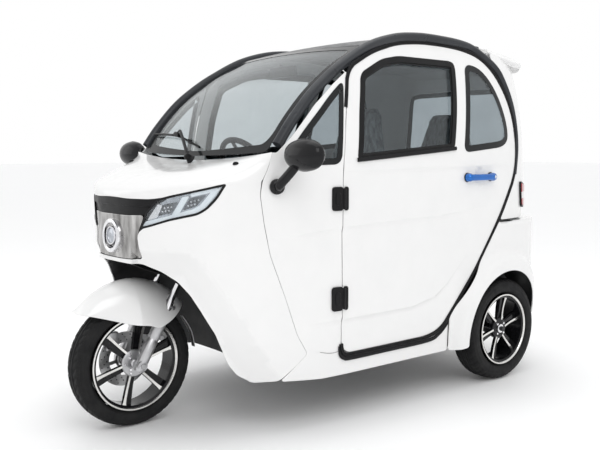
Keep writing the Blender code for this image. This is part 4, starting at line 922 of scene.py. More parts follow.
# ---- body panels ---------------------------------------------------------------------------------
def build_front():
    """Front cowl, nose, side frames and quarter windows."""
    rear_edge = on_nose(SEAM_TOP + SEAM)
    half = [(0.0, HOOD_TOP), (0.2, HOOD_TOP), (0.4, HOOD_TOP)]
    half = half + rear_edge + on_nose(ARCH_EDGE)[::-1] + [(0.0, 0.676)]
    crease = spline([(u, z, 0) for u, z in on_nose(ARCH_CREASE)], 6)
    crease = [(p.x, p.y) for p in crease[:-4]]
    opening = soften(whole(on_nose(NOSE_OPENING)), 0.012, 2)
    cowl = skin("front_cowl.skin", nose, soften(whole(half), 0.006, 2), WHITE, holes=[opening],
                folds=[crease, [(-u, z) for u, z in crease]], spacing=0.018)
    place(cowl, "body", "front_cowl")
    upper = skin("nose_grille.upper", nose, soften(whole(on_nose(GRILLE_TOP)), 0.006, 2), BLACK,
                 spacing=0.02, thickness=0.010, roll=0.003, depth=0.002)
    lower = skin("nose_grille.lower", nose, soften(whole(on_nose(GRILLE_LOW)), 0.006, 2), BLACK,
                 spacing=0.02, thickness=0.006, roll=0.002, depth=0.007)
    place(upper, "body", "nose_grille")
    place(lower, "body", ())
    plate = skin("nose_panel.plate", nose, soften(whole(on_nose(NOSE_PANEL)), 0.010, 2), SMOKED,
                 spacing=0.02, thickness=0.006, roll=0.003, depth=0.004)
    place(plate, "body", "nose_panel")
    backing = skin("nose_backing", nose, drawn_in(soften(whole(on_nose(NOSE_OPENING)), 0.012, 2), -0.006),
                   BLACK, spacing=0.03, thickness=0.002, depth=0.022)
    place(backing, "body", ())
    seam = [nose(nose_angle(x), w) for x, w in SEAM_TOP + SEAM]
    seam = [(point.y + 0.004, point.z) for point in seam]
    sill = [(0.560, 0.200), (1.3095, 0.200), (1.3015, 0.330), (1.3000, 0.346)]
    door_edge = [(1.262, 0.309), (1.168, 0.280), (0.649, 0.279), (0.648, 0.712), (0.650, 1.031),
                 (0.673, 1.229)]
    outline = soften(seam + sill + door_edge + FRAME_TOP, 0.008, 2)
    triangle = soften(TRIANGLE, 0.022)
    joint = ((0.545, 0.311), (0.580, 0.302), (0.612, 0.299), (0.640, 0.303))
    line = spline([side(y, z) for y, z in joint], 5)
    pair(lambda name: sweep(name + ".line", line, oval(0.0007, 0.0005, 6), SEAL,
                            [Vector((1, 0, 0))] * len(line)),
         "sill_joint", "body", None)
    skin_pair("skin", pressed_side, outline, WHITE, "side_frame", "body", "@side_frame", "white_paint",
              holes=[triangle], folds=crease_folds(0.30, 0.646))
    pane = drawn_in(triangle, 0.003)
    skin_pair("glass", side, pane, CLEAR, "quarter_window", "body", "@quarter_window", "clear_glass",
              spacing=0.03)
    band = drawn_in(triangle, 0.026)
    skin_pair("edge", side, drawn_in(triangle, 0.002), FRIT, "quarter_window", "body", None,
              "black_plastic", holes=[band], spacing=0.012, thickness=0.0008, roll=0.0003, depth=-0.0014)


def build_lamps():
    """Black rim, clear lens, bright strips and two dark cell windows in each headlamp."""
    rim = soften(on_nose(LAMP_RIM), 0.006, 2)
    skin_pair("rim", nose, rim, GLOSS_BLACK, "headlamp", "body", "@headlamp", "black_plastic",
              holes=[drawn_in(rim, 0.0055)], spacing=0.010, thickness=0.014, roll=0.0015, depth=-0.001)
    lens = drawn_in(rim, 0.0045)
    skin_pair("lens", nose, lens, LENS, "headlamp", "body", None, "lamp_lens", spacing=0.02,
              thickness=0.0012, roll=0.0003, depth=0.0006)
    skin_pair("bowl", nose, lens, LAMP_DARK, "headlamp", "body", None, "lamp_lens", spacing=0.02,
              thickness=0.002, roll=0.0003, depth=0.013)
    strips = {
        "low_strip": ([(0.196, 0.822), (0.300, 0.848), (0.380, 0.873), (0.402, 0.896), (0.436, 0.970),
                       (0.420, 0.962), (0.390, 0.904), (0.372, 0.889), (0.300, 0.863), (0.212, 0.840)],
                      GUIDE, 0.004),
        "slant_strip": ([(0.312, 0.868), (0.334, 0.876), (0.362, 0.938), (0.344, 0.934), (0.330, 0.902)],
                        GUIDE, 0.004),
        "top_strip": ([(0.368, 0.938), (0.428, 0.960), (0.428, 0.974), (0.368, 0.952)], GUIDE, 0.004),
        "inner_strip": ([(0.216, 0.846), (0.256, 0.858), (0.276, 0.902), (0.262, 0.908)], CHROME, 0.007),
    }
    for title, (shape, material, depth) in strips.items():
        flat = soften(on_nose(shape), 0.003, 1)
        skin_pair(title, nose, flat, material, "headlamp", "body", None, "chrome", spacing=0.008,
                  thickness=0.006, roll=0.002, depth=depth)
    cells = [[(0.260, 0.864), (0.308, 0.876), (0.328, 0.916), (0.280, 0.906)],
             [(0.344, 0.886), (0.380, 0.902), (0.404, 0.944), (0.364, 0.930)]]
    for number, shape in enumerate(cells):
        flat = soften(on_nose(shape), 0.004, 1)
        skin_pair(f"cell_{number}", nose, flat, LED, "headlamp", "body", None, "dark_trim", spacing=0.006,
                  thickness=0.003, roll=0.001, depth=0.009)
        lenses = []
        for a in (0.25, 0.5, 0.75):
            for b in (0.3, 0.7):
                low = Vector(flat[0]).lerp(Vector(flat[len(flat) // 4]), a)
                high = Vector(flat[-1]).lerp(Vector(flat[len(flat) // 2]), a)
                u, w = low.lerp(high, b)
                spot = nose(u, w)
                normal = (nose(u + 1e-3, w) - spot).cross(nose(u, w + 1e-3) - spot).normalized()
                lenses.append(tube("led", spot - 0.010 * normal, spot - 0.004 * normal,
                                   [0.005, 0.0048, 0.0036, 0.0012], CHROME, 12))
        bulbs = joined(f"left_headlamp.leds_{number}", lenses)
        other = twin(bulbs, f"right_headlamp.leds_{number}")
        for obj in (bulbs, other):
            place(obj, "body", ())
    centre = NOSE_LAMP_CENTRE
    ahead = Vector((0, -1, 0.04)).normalized()
    parts = [tube("ring", centre - 0.012 * ahead, centre + 0.016 * ahead,
                  [0.066, 0.069, 0.066, 0.056, 0.051, 0.050], CHROME, 64, [0, 0.5, 0.9, 1.0, 0.9, 0.3]),
             tube("bowl", centre - 0.011 * ahead, centre + 0.010 * ahead, [0.052, 0.050, 0.038, 0.036],
                  GLOSS_BLACK, 64, [0, 0.5, 0.4, 0.5]),
             tube("inner", centre - 0.004 * ahead, centre + 0.012 * ahead,
                  [0.037, 0.038, 0.036, 0.032, 0.031], CHROME, 48, [0, 0.7, 1.0, 1.0, 0.6]),
             tube("dome", centre, centre + 0.013 * ahead, [0.031, 0.030, 0.025, 0.014, 0.004], LAMP_DARK,
                  48, [0, 0.5, 0.8, 0.96, 1.0])]
    place(joined("nose_lamp", parts), "body", ())


def build_upper():
    """Windscreen, roof rails, roof and spoiler."""
    glass_outline = [(-0.995, 0.01), (0.995, 0.01), (0.995, 0.985), (-0.995, 0.985)]
    pane = skin("windscreen.glass", screen, soften(glass_outline, 0.03), SCREEN, spacing=0.06)
    place(pane, "body", "windscreen")
    inner = soften([(-0.945, 0.075), (0.0, 0.045), (0.945, 0.075), (0.945, 0.93), (-0.945, 0.93)], 0.05)
    edge = skin("windscreen.edge", screen, soften(glass_outline, 0.03), FRIT, holes=[inner], spacing=0.03,
                thickness=0.0008, roll=0.0003, depth=-0.0014)
    place(edge, "body", ())
    lower = [side(y, z) + Vector((0.001, 0, 0)) for y, z in RAIL_FOOT]
    path = spline(PILLAR[:-1] + [tuple(p) for p in lower], 6)
    ups = [Vector((0.35, 0, 0)) + Vector((0, -(b - a).z, (b - a).y)).normalized()
           for a, b in zip(path, path[1:] + path[-1:])]
    ups[-1] = ups[-2]
    start = 6 * (len(PILLAR) - 2)
    sizes = [1.0 if i < start else 0.40 + 0.60 * (1 - (i - start) / (len(path) - 1 - start)) ** 1.5
             for i in range(len(path))]
    pair(lambda name: sweep(name + ".look", path, oval(0.0205, 0.0195, 20, 0.8), RAIL, ups, sizes=sizes),
         "roof_rail", "body", "@roof_rail")
    edge = [(0.0, 0.893), (0.22, 0.893), (0.424, 0.896), (0.424, 1.30), (0.422, 1.66), (0.452, 1.735),
            (0.455, 1.93), (0.400, 2.020), (0.0, 2.032)]
    top = skin("roof_panel.skin", roof, soften(whole(edge[:5] + [(0.0, 1.66)]), 0.01, 2), RAIL,
               spacing=0.03, thickness=0.010, roll=0.004)
    place(top, "body", "roof_panel")
    wing = skin("spoiler.skin", roof, soften(whole([(0.0, 1.664)] + [(0.421, 1.664)] + edge[5:]), 0.02),
                WHITE, spacing=0.025, thickness=0.026, roll=0.010)
    place(wing, "body", ())
    inside = soften(whole(edge[:5] + [(0.40, 1.70), (0.0, 1.70)]), 0.02)
    lining = skin("roof_lining", roof, drawn_in(inside, 0.01), TRIM, spacing=0.06, thickness=0.003,
                  depth=0.016)
    place(lining, "body", ())


def build_tail():
    """Rear body, rear window and tail lamps."""
    surface = flipped(cabin_tail)
    tall = on_tail(UPPER_TAIL_FRONT, cabin_tail)
    window = [(0.0, 1.435), (0.345, 1.430), (0.375, 1.400), (0.400, 1.10), (0.370, 1.055), (0.0, 1.050)]
    lamp = soften(on_tail(TAIL_LAMP, cabin_tail), 0.012, 2)
    other = [(-p[0], p[1]) for p in lamp]
    hole = soften(whole(window), 0.03)
    rear = whole([(0.0, 0.780)] + tall + [(0.55, 1.552), (0.0, 1.540)])
    body = skin("rear_body.skin", surface, soften(rear, 0.01, 2), WHITE, holes=[hole, lamp, other],
                spacing=0.022)
    place(body, "body", "rear_body")
    pane = skin("rear_window.glass", surface, drawn_in(hole, 0.003), CLEAR, spacing=0.03, depth=0.001)
    place(pane, "body", "rear_window")
    edge = skin("rear_window.edge", surface, drawn_in(hole, 0.002), FRIT, holes=[drawn_in(hole, 0.028)],
                spacing=0.014, thickness=0.0008, roll=0.0003, depth=-0.0010)
    place(edge, "body", ())
    for name, outline in (("left", other), ("right", lamp)):
        rim = skin(name + "_tail_lamp.rim", surface, drawn_in(outline, 0.002), BLACK,
                   holes=[drawn_in(outline, 0.009)], spacing=0.008, thickness=0.018, roll=0.002,
                   depth=-0.009)
        place(rim, "body", name + "_tail_lamp")
        shape = drawn_in(outline, 0.010)
        for part, low, high, material in (("top", 0.905, 0.97, RED), ("middle", 0.872, 0.903, PALE_LENS),
                                          ("foot", 0.80, 0.870, RED)):
            cut = clipped(shape, low, high)
            cover = skin(f"{name}_tail_lamp.{part}", surface, cut, material, spacing=0.007, thickness=0.018,
                         roll=0.0022, depth=-0.012)
            place(cover, "body", ())


def clipped(outline, low, high):
    """The part of a closed outline between two heights."""
    for level, keep_above in ((low, True), (high, False)):
        cut = []
        for a, b in zip(outline, outline[1:] + outline[:1]):
            a, b = Vector(a), Vector(b)
            in_a, in_b = ((p.y > level) == keep_above for p in (a, b))
            if in_a:
                cut.append(a)
            if in_a != in_b:
                cut.append(a.lerp(b, (level - a.y) / (b.y - a.y)))
        outline = cut
    return outline


def build_fenders():
    """Rear fenders with the bumper, and the wheel arches."""
    arch = arc_points((REAR_AXLE_STATION, REAR_TYRE_R), 0.292, 188, 8, 40)
    half = on_tail(LOWER_TAIL_FRONT + arch, low_tail)
    shelf = [(0.0, LEDGE_Z + 0.090), (0.45, LEDGE_Z + 0.090), (0.70, LEDGE_Z + 0.075)]
    shelf += on_tail([(1.760, LEDGE_Z)], low_tail)
    low = whole(shelf + half + [(0.35, 0.300), (0.0, 0.300)])
    folds = [[(-0.80, LEDGE_Z), (0.80, LEDGE_Z)]]
    made = skin("rear_fenders.skin", flipped(low_tail), soften(low, 0.008, 2), WHITE, folds=folds,
                spacing=0.020, roll=0.0025)
    place(made, "body", "rear_fenders")
    for sign, name in ((1, "left"), (-1, "right")):
        verts, faces = [], []
        turns = np.radians(np.linspace(-12, 192, 52))
        for t in turns:
            y, z = REAR_AXLE_STATION + REAR_ARCH_R * math.cos(t), REAR_TYRE_R + REAR_ARCH_R * math.sin(t)
            outer = abs(low_tail(on_tail([(y, z)], low_tail)[0][0], z).x) - 0.008
            verts += [(sign * outer, y, z), (sign * 0.400, y, z), (sign * 0.400, y, z + 0.003),
                      (sign * outer, y, z + 0.003)]
        for i in range(len(turns) - 1):
            here, there = 4 * i, 4 * i + 4
            faces += [(here + k, here + (k + 1) % 4, there + (k + 1) % 4, there + k) for k in range(4)]
        liner = outward(make(name + "_wheel_arch", verts, faces, BLACK))
        place(liner, "body", ())


# ---- doors ---------------------------------------------------------------------------------------
def build_doors():
    """Door shells, trims, glass and belt strips."""
    outline = soften(DOOR, 0.03)
    front, rear = soften(FRONT_PANE, 0.017), soften(REAR_PANE, 0.024)
    body, white = "@door", "white_paint"
    skin_pair("skin", pressed_side, outline, WHITE, "door_shell", body, "@door_shell", white,
              holes=[front, rear], folds=crease_folds(0.662, 1.80), spacing=0.020)
    skin_pair("skin", door_trim, soften(DOOR_TRIM, 0.02), TRIM, "door_trim", body, "@door_trim",
              "dark_trim", spacing=0.03, thickness=0.003)
    frame_ring = drawn_in(front, 0.001)
    skin_pair("frame", side, frame_ring, BLACK, "front_window", body, None, "black_plastic",
              holes=[drawn_in(front, 0.024)], spacing=0.014, thickness=0.008, roll=0.0025, depth=-0.0025)
    lip = drawn_in(front, 0.023)
    skin_pair("lip", side, lip, FRIT, "front_window", body, None, "black_plastic",
              holes=[drawn_in(front, 0.030)], spacing=0.014, thickness=0.004, roll=0.0015, depth=0.003)
    pane = [(y, z if z > 1.15 else 1.036) for y, z in drawn_in([Vector(p) for p in FRONT_PANE], -0.010)]
    skin_pair("glass", drop_glass, soften(pane, 0.01), CLEAR, "drop_glass", "@window", "@drop_glass",
              "clear_glass", spacing=0.04)
    strip_path = [side(y, 1.070 + 0.046 * (y - 0.729) / 0.593) + Vector((0.004, 0, 0))
                  for y in np.linspace(0.726, 1.330, 24)]
    pair(lambda name: sweep(name + ".strip", strip_path, oval(0.0085, 0.0055, 12, 0.7), SEAL,
                            [Vector((1, 0, 0))] * 24), "belt", body, None)
    inner = drawn_in(rear, 0.030)
    skin_pair("glass", side, drawn_in(rear, 0.003), CLEAR, "rear_door_glass", body, "@rear_door_glass",
              "clear_glass", spacing=0.03)
    skin_pair("edge", side, drawn_in(rear, 0.0015), FRIT, "rear_door_glass", body, None, "black_plastic",
              holes=[inner], spacing=0.012, thickness=0.0010, roll=0.0003, depth=-0.0016)
    build_seal()
    build_handle()
    build_hinges()


def build_seal():
    """One black seal over the door, down its rear edge and forward along its bottom."""
    ring = drawn_in(soften(DOOR, 0.03), -0.0095)
    path = [Vector((p.x, p.y, 0)) for p in ring[31:167]]
    path += [Vector((y, z, 0)) for y, z in ((0.900, 0.2805), (0.705, 0.2800), (0.676, 0.2830),
                                            (0.657, 0.298), (0.6490, 0.330))]
    path = spline(path, 2)
    low = spline([(1.330, 0.368, 0), (1.290, 0.322, 0), (1.240, 0.286, 0), (1.165, 0.2665, 0),
                  (0.900, 0.2645, 0), (0.705, 0.2640, 0), (0.668, 0.2690, 0), (0.6455, 0.288, 0),
                  (0.6375, 0.322, 0)], 6)
    rib = [side(p.x, p.y) + Vector((0.0005, 0, 0)) for p in low]
    thin = [0.35 + 0.65 * min(1.0, i / 14, (len(rib) - 1 - i) / 9) for i in range(len(rib))]
    pair(lambda name: sweep(name + ".rib", rib, oval(0.0085, 0.0048, 14, 0.7), SEAL,
                            [Vector((1, 0, 0.12))] * len(rib), sizes=thin),
         "sill_seal", "body", None)
    points = [side(p.x, p.y) + Vector((0.0005, 0, 0)) for p in path]
    ups = [Vector((1, 0, 0.12)) for _ in points]
    section = [(0.0086, -0.004), (0.0086, 0.0015), (0.0070, 0.0040), (0.0025, 0.0048), (0.0008, 0.0026),
               (-0.0008, 0.0026), (-0.0025, 0.0048), (-0.0070, 0.0040), (-0.0086, 0.0015),
               (-0.0086, -0.004)]
    pair(lambda name: sweep(name + ".look", points, section, SEAL, ups), "door_seal", "body", None)


def build_handle():
    """Blue pull bar with rounded ends on two feet, with its lock barrel."""
    def bar(name):
        x0 = BODY_HALF_WIDTH + 0.020
        path = spline([(x0 - 0.010, 1.404, HANDLE_Z), (x0 + 0.002, 1.414, HANDLE_Z),
                       (x0 + 0.004, 1.45, HANDLE_Z), (x0 + 0.004, 1.55, HANDLE_Z),
                       (x0 + 0.002, 1.586, HANDLE_Z), (x0 - 0.010, 1.597, HANDLE_Z)], 8)
        sizes = [0.80 + 0.20 * min(1.0, min(i, len(path) - 1 - i) / 7) for i in range(len(path))]
        grip = sweep("grip", path, oval(0.0145, 0.0065, 16, 0.8), BLUE, [Vector((1, 0, 0))] * len(path),
                     sizes=sizes)
        feet = []
        for y in HANDLE_FEET:
            feet.append(tube("foot", (BODY_HALF_WIDTH + 0.001, y, HANDLE_Z), (x0 + 0.002, y, HANDLE_Z),
                             [0.0190, 0.0190, 0.0185, 0.0160, 0.011], BLUE, 28, [0, 0.3, 0.7, 1, 1.2]))
        lock = tube("lock", (x0 + 0.004, 1.583, HANDLE_Z), (x0 + 0.0102, 1.583, HANDLE_Z),
                    [0.0075, 0.0075, 0.0066, 0.002], CHROME, 20, [0, 0.85, 1, 1])
        return joined(name + ".look", [grip, lock] + feet)

    pair(bar, "door_handle", "@handle", "@door_handle")

    def gaskets(name):
        made = [tube("gasket", side(y, HANDLE_Z) - Vector((0.002, 0, 0)),
                     side(y, HANDLE_Z) + Vector((0.0008, 0, 0)),
                     [0.0215, 0.0215, 0.0205], SEAL, 24, [0, 0.7, 1]) for y in HANDLE_FEET]
        return joined(name + ".look", made)

    pair(gaskets, "handle_gaskets", "@door", None)


def build_hinges():
    """Black leaf hinges on the door's front edge: a plate on the body and one on the door."""
    def leaf(name, y0, y1, z0, z1, deep):
        outline = soften([(y0, z0), (y1, z0), (y1, z1), (y0, z1)], 0.006, 2)
        return skin(name, side, outline, BLACK, spacing=0.012, thickness=deep, roll=0.002,
                    depth=-deep + 0.0005)

    for number, (low, high) in enumerate(HINGE_ROWS):
        pair(lambda name: leaf(f"{name}_{number}.look", 0.597, 0.646, low, high, 0.009), "hinge_body_leaf",
             "body", None)
        pair(lambda name: leaf(f"{name}_{number}.pad", 0.610, 0.632, low + 0.022, high - 0.022, 0.0115),
             "hinge_body_leaf", "body", None)
        pair(lambda name: leaf(f"{name}_{number}.look", 0.658, 0.674, low, high, 0.008), "hinge_door_leaf",
             "@door", None)
        knuckle = [(0.566, 0.640 + 0.0125, low + 0.004), (0.566, 0.640 + 0.0125, high - 0.004)]
        pair(lambda name: tube(f"{name}_{number}.look", *knuckle, [0.006, 0.0078, 0.0078, 0.006], BLACK, 16,
                               [0, 0.03, 0.97, 1]), "hinge_knuckle", "body", None)


# ---- cabin ---------------------------------------------------------------------------------------
def soft_block(node, material, cap=0.024):
    """A cushion puffed up from its CAD block by cloth pressure, then smoothed."""
    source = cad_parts[node]
    tool = bmesh.new()
    tool.from_mesh(source.data)
    bmesh.ops.remove_doubles(tool, verts=tool.verts, dist=1e-5)
    mesh = bpy.data.meshes.new(node + ".look")
    tool.to_mesh(mesh)
    tool.free()
    obj = bpy.data.objects.new(node + ".look", mesh)
    bpy.context.scene.collection.objects.link(obj)
    middle = sum((v.co for v in mesh.vertices), Vector()) / len(mesh.vertices)
    low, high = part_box(node)
    size = high - low
    for vertex in mesh.vertices:
        for axis in range(3):
            shrink = 1 - 0.012 / max(0.04, size[axis])
            vertex.co[axis] = middle[axis] + (vertex.co[axis] - middle[axis]) * shrink
    modified(obj, "BEVEL", width=0.014, segments=3, limit_method="ANGLE", angle_limit=math.radians(30))
    modified(obj, "REMESH", mode="VOXEL", voxel_size=0.0065)
    rest = np.array([v.co for v in obj.data.vertices])
    cloth = obj.modifiers.new("cloth", "CLOTH")
    cloth.settings.use_pressure = True
    cloth.settings.uniform_pressure_force = CLOTH_PRESSURE
    cloth.settings.effector_weights.gravity = 0.0
    cloth.settings.mass = 0.3
    cloth.point_cache.frame_start, cloth.point_cache.frame_end = 1, CLOTH_FRAMES
    for number in range(1, CLOTH_FRAMES + 1):
        bpy.context.scene.frame_set(number)
    graph = bpy.context.evaluated_depsgraph_get()
    puffed = np.array([v.co for v in obj.evaluated_get(graph).to_mesh().vertices])
    obj.modifiers.clear()
    move = puffed - rest
    length = np.linalg.norm(move, axis=1, keepdims=True)
    rest = rest + move * np.minimum(1.0, cap * 0.45 / np.maximum(length, 1e-9))
    bpy.context.scene.frame_set(1)
    seams = quilt_lines(low, high)
    for number, spot in enumerate(rest):
        across = spot[0]
        groove = sum(math.exp(-((across - line) / 0.006) ** 2) for line in seams)
        toward = np.array(middle) - spot
        toward[0] = 0
        reach = np.linalg.norm(toward)
        rest[number] = spot + toward / max(reach, 1e-6) * 0.005 * groove
    obj.data.vertices.foreach_set("co", rest.astype(np.float32).ravel())
    modified(obj, "SMOOTH", factor=0.5, iterations=2)
    obj.data.materials.clear()
    obj.data.materials.append(material)
    obj.data.shade_smooth()
    return obj


def quilt_lines(low, high):
    wide = high[0] - low[0]
    return [(low[0] + high[0]) / 2 + wide * part for part in (-0.27, 0.27)]


def build_seats():
    """Two cushions and two backs."""
    for node in ("front_seat_cushion", "front_seat_back", "rear_seat_cushion", "rear_seat_back"):
        made = soft_block(node, VINYL)
        place(made, "body", node)


def build_cabin():
    """Interior mirror, dashboard vents, steering wheel and other inside pieces."""
    for node, width, material, slot in (
            ("floor_pan", 0.002, TRIM, "dark_trim"), ("front_seat_base", 0.006, TRIM, "dark_trim"),
            ("dashboard", 0.012, TRIM, "dark_trim"), ("battery_pack", 0.006, BLACK, "black_plastic"),
            ("chassis_frame", 0.003, FRAME_STEEL, "frame_steel")):
        place(rounded(node, width, material, 3), "body", node)
    place(rounded("brake_pedal", 0.0015, FRAME_STEEL), "brake_pedal", "brake_pedal")
    place(rounded("interior_mirror", 0.006, BLACK, 4), "interior_mirror", "interior_mirror")
    glass_face = skin("interior_mirror.glass", lambda x, z: Vector((-x, 0.8052, z)),
                      soften([(-0.080, 1.441), (0.080, 1.441), (0.080, 1.481), (-0.080, 1.481)], 0.008),
                      CHROME, spacing=0.02, thickness=0.0006, roll=0.0003)
    place(glass_face, "interior_mirror", ())
    axis = (COLUMN_TOP - COLUMN_FOOT).normalized()
    across, up = Vector((1, 0, 0)), axis.cross(Vector((1, 0, 0)))
    ring = [COLUMN_TOP + STEERING_WHEEL_R * (math.cos(t) * across + math.sin(t) * up)
            for t in np.linspace(0, 2 * math.pi, 73)[:-1]]
    rim = sweep("rim", ring, oval(0.0125, 0.0125, 14), BLACK, [axis] * 72, closed=True)
    column = tube("column", COLUMN_FOOT, COLUMN_TOP, [0.012, 0.012, 0.030, 0.042, 0.044, 0.036], BLACK, 28,
                  [0, 0.72, 0.80, 0.92, 1.0, 1.06])
    spokes = []
    for angle in (8, 172, -90):
        t = math.radians(angle)
        way = math.cos(t) * across + math.sin(t) * up
        path = [COLUMN_TOP - 0.004 * axis + way * d for d in (0.02, 0.06, 0.11, 0.160)]
        spokes.append(sweep("spoke", spline(path, 4), oval(0.011, 0.0055, 12, 0.8), BLACK, [axis] * 13))
    place(joined("steering_wheel.look", [rim, column] + spokes), "steering_wheel", "steering_wheel")
    for number, x in enumerate((-0.24, 0.0, 0.24)):
        vent = tube(f"dash_vent_{number}", (x, 0.543, 1.018), (x, 0.550, 1.020), [0.020, 0.022, 0.016],
                    GLOSS_BLACK, 28, [0, 0.6, 1])
        place(vent, "body", ())


# ---- front end -----------------------------------------------------------------------------------
def build_fork():
    """Front fender, fork, axle and brake caliper."""
    edge = [(-0.80, 0.0), (-0.78, 0.8), (-0.74, 1.0), (0.48, 1.0), (0.66, 0.82), (0.74, 0.50), (0.76, 0.0)]
    outline = [(v, t) for t, v in edge + [(t, -v) for t, v in edge[-2:0:-1]]]
    holes = []
    for sign in (-1, 1):
        holes.append([(sign * 0.530 + 0.17 * math.sin(t), 0.520 + 0.080 * math.cos(t))
                      for t in (2 * math.pi * i / 24 for i in range(24))])

    def scaled(v, t):
        return fender_skin(v / 0.3, t / 0.34)

    outline = soften([(v * 0.3, t * 0.34) for v, t in outline], 0.02)
    holes = [[(v * 0.3, t * 0.34) for v, t in hole] for hole in holes]
    made = skin("front_fender.skin", scaled, outline, WHITE, holes=holes, spacing=0.011, thickness=0.003,
                roll=0.0015)
    place(made, "fork_lowers", "front_fender")
    yoke = rounded("fork_yoke", 0.0035, CHROME, 3)
    place(yoke, "steering", "fork_yoke")

    def slider(name):
        parts = [tube("leg", fork_point(FORK_HALF, -0.026), fork_point(FORK_HALF, 0.232),
                      [0.0190, 0.0235, 0.0235, 0.0225, 0.0225, 0.0242, 0.0242, 0.0172], ALLOY, 32,
                      [0, 0.03, 0.52, 0.53, 0.545, 0.555, 0.985, 1.0]),
                 tube("boss", fork_point(FORK_HALF - 0.006, 0.132, 0.029),
                      fork_point(FORK_HALF + 0.012, 0.132, 0.029),
                      [0.0105, 0.0105, 0.0090, 0.003], ALLOY, 20, [0, 0.85, 1, 1]),
                 tube("boss_foot", fork_point(FORK_HALF + 0.002, 0.132, 0.015),
                      fork_point(FORK_HALF + 0.002, 0.132, 0.029), [0.0080, 0.0080], ALLOY, 16),
                 tube("lug", (FORK_HALF - 0.019, 0, FRONT_TYRE_R), (FORK_HALF + 0.0195, 0, FRONT_TYRE_R),
                      [0.021, 0.0225, 0.0225, 0.021], ALLOY, 32, [0, 0.08, 0.92, 1]),
                 tube("nut", (FORK_HALF + 0.0195, 0, FRONT_TYRE_R), (FORK_HALF + 0.0305, 0, FRONT_TYRE_R),
                      [0.0125, 0.0125, 0.011], STEEL, 6, [0, 0.86, 1])]
        return joined(name + ".look", parts)

    pair(slider, "fork_slider", "fork_lowers", "@fork_slider")
    axle = tube("front_axle.look", (-0.112, 0, FRONT_TYRE_R), (0.112, 0, FRONT_TYRE_R),
                [0.0070, 0.0080, 0.0080, 0.0070], STEEL, 24, [0, 0.01, 0.99, 1])
    place(axle, "fork_lowers", "front_axle")
    place(rounded("brake_caliper", 0.004, ALLOY, 3), "fork_lowers", "brake_caliper")

    def screw(name):
        spot = Vector((0.097, 0.146, 0.471))
        half = Vector((0.004, 0, 0))
        return tube(name + ".look", spot - half, spot + half, [0.0085, 0.0085, 0.0070, 0.002], STEEL, 20,
                    [0, 0.6, 0.95, 1])

    pair(screw, "fender_screw", "fork_lowers", None)
    path = spline([(0.060, 0.205, 0.425), (0.060, 0.245, 0.360), (0.060, 0.262, 0.290)], 6)
    pair(lambda name: sweep(name + ".look", path, oval(0.0130, 0.0020, 12, 0.6), ALLOY,
                            [Vector((0, 1, 0.3))] * len(path)),
         "hugger_strip", "fork_lowers", None)


def build_liner():
    """The lining of the front wheel well."""
    centre = spline([(0, -0.040, 0.668), (0, 0.100, 0.712), (0, 0.255, 0.722), (0, 0.350, 0.625),
                     (0, 0.372, 0.450), (0, 0.370, 0.340), (0, 0.360, 0.262)], 1)
    edge = spline([(0.150, -0.020, 0.655), (0.250, 0.040, 0.628), (0.300, 0.080, 0.580),
                   (0.335, 0.120, 0.510), (0.365, 0.170, 0.420), (0.385, 0.220, 0.330),
                   (0.400, 0.260, 0.262)], 1)

    def well(u, v):
        first, second = curve_at(centre, v), curve_at(edge, v)
        mixed = first.lerp(Vector((0, second.y, second.z)), min(1.0, abs(u) ** 3))
        return Vector((u * second.x, mixed.y, mixed.z))

    hole = [(0.16 * math.cos(t), 0.395 + 0.075 * math.sin(t))
            for t in (2 * math.pi * i / 24 for i in range(24))]
    made = skin("wheel_well_liner.skin", well, [(-1, 0.004), (1, 0.004), (1, 0.996), (-1, 0.996)], BLACK,
                holes=[hole], spacing=0.045, thickness=0.003)
    place(made, "body", "wheel_well_liner")


# ---- wheels --------------------------------------------------------------------------------------
def tyre_look(name, x, station, radius, half, seat, steps=240):
    """A hollow tyre with two rings round the tread and curved cuts across its shoulders."""
    outer = spline([(-0.74, 0, 0), (-0.96, 0.20, 0), (-1.0, 0.42, 0), (-0.96, 0.70, 0), (-0.80, 0.905, 0),
                    (-0.45, 0.98, 0), (0, 1.0, 0), (0.45, 0.98, 0), (0.80, 0.905, 0), (0.96, 0.70, 0),
                    (1.0, 0.42, 0), (0.96, 0.20, 0), (0.74, 0, 0)], 6)
    inner = [Vector(p) for p in ((0.62, 0.0, 0), (0.84, 0.32, 0), (0.80, 0.62, 0), (0, 0.87, 0),
                                 (-0.80, 0.62, 0), (-0.84, 0.32, 0), (-0.62, 0.0, 0))]
    profile = outer + inner
    count = len(profile)
    verts, faces = [], []
    cuts = 46
    for step in range(steps):
        turn = 2 * math.pi * step / steps
        for i, p in enumerate(profile):
            a, r = p.x * half, seat + 0.0015 + p.y * (radius - seat - 0.0015)
            if i < len(outer) and p.y > 0.80:
                ringed = min(abs(abs(p.x) - 0.22), 1.0)
                if ringed < 0.07:
                    r -= 0.0035
                phase = (turn * cuts / (2 * math.pi) + 1.1 * abs(p.x) ** 1.5) % 1.0
                if abs(p.x) > 0.32 and phase < 0.24:
                    r -= 0.0032
            elif i < len(outer):
                for level, rise in ((0.16, 0.0010), (0.56, 0.0008), (0.76, 0.0010)):
                    if abs(p.y - level) < 0.05:
                        a += math.copysign(rise, a)
            verts.append((x + a, station + r * math.cos(turn), radius + r * math.sin(turn)))
    for step in range(steps):
        here, there = step * count, ((step + 1) % steps) * count
        faces += [(here + i, there + i, there + (i + 1) % count, here + (i + 1) % count)
                  for i in range(count)]
    return outward(make(name, verts, faces, RUBBER, smooth_below=30))


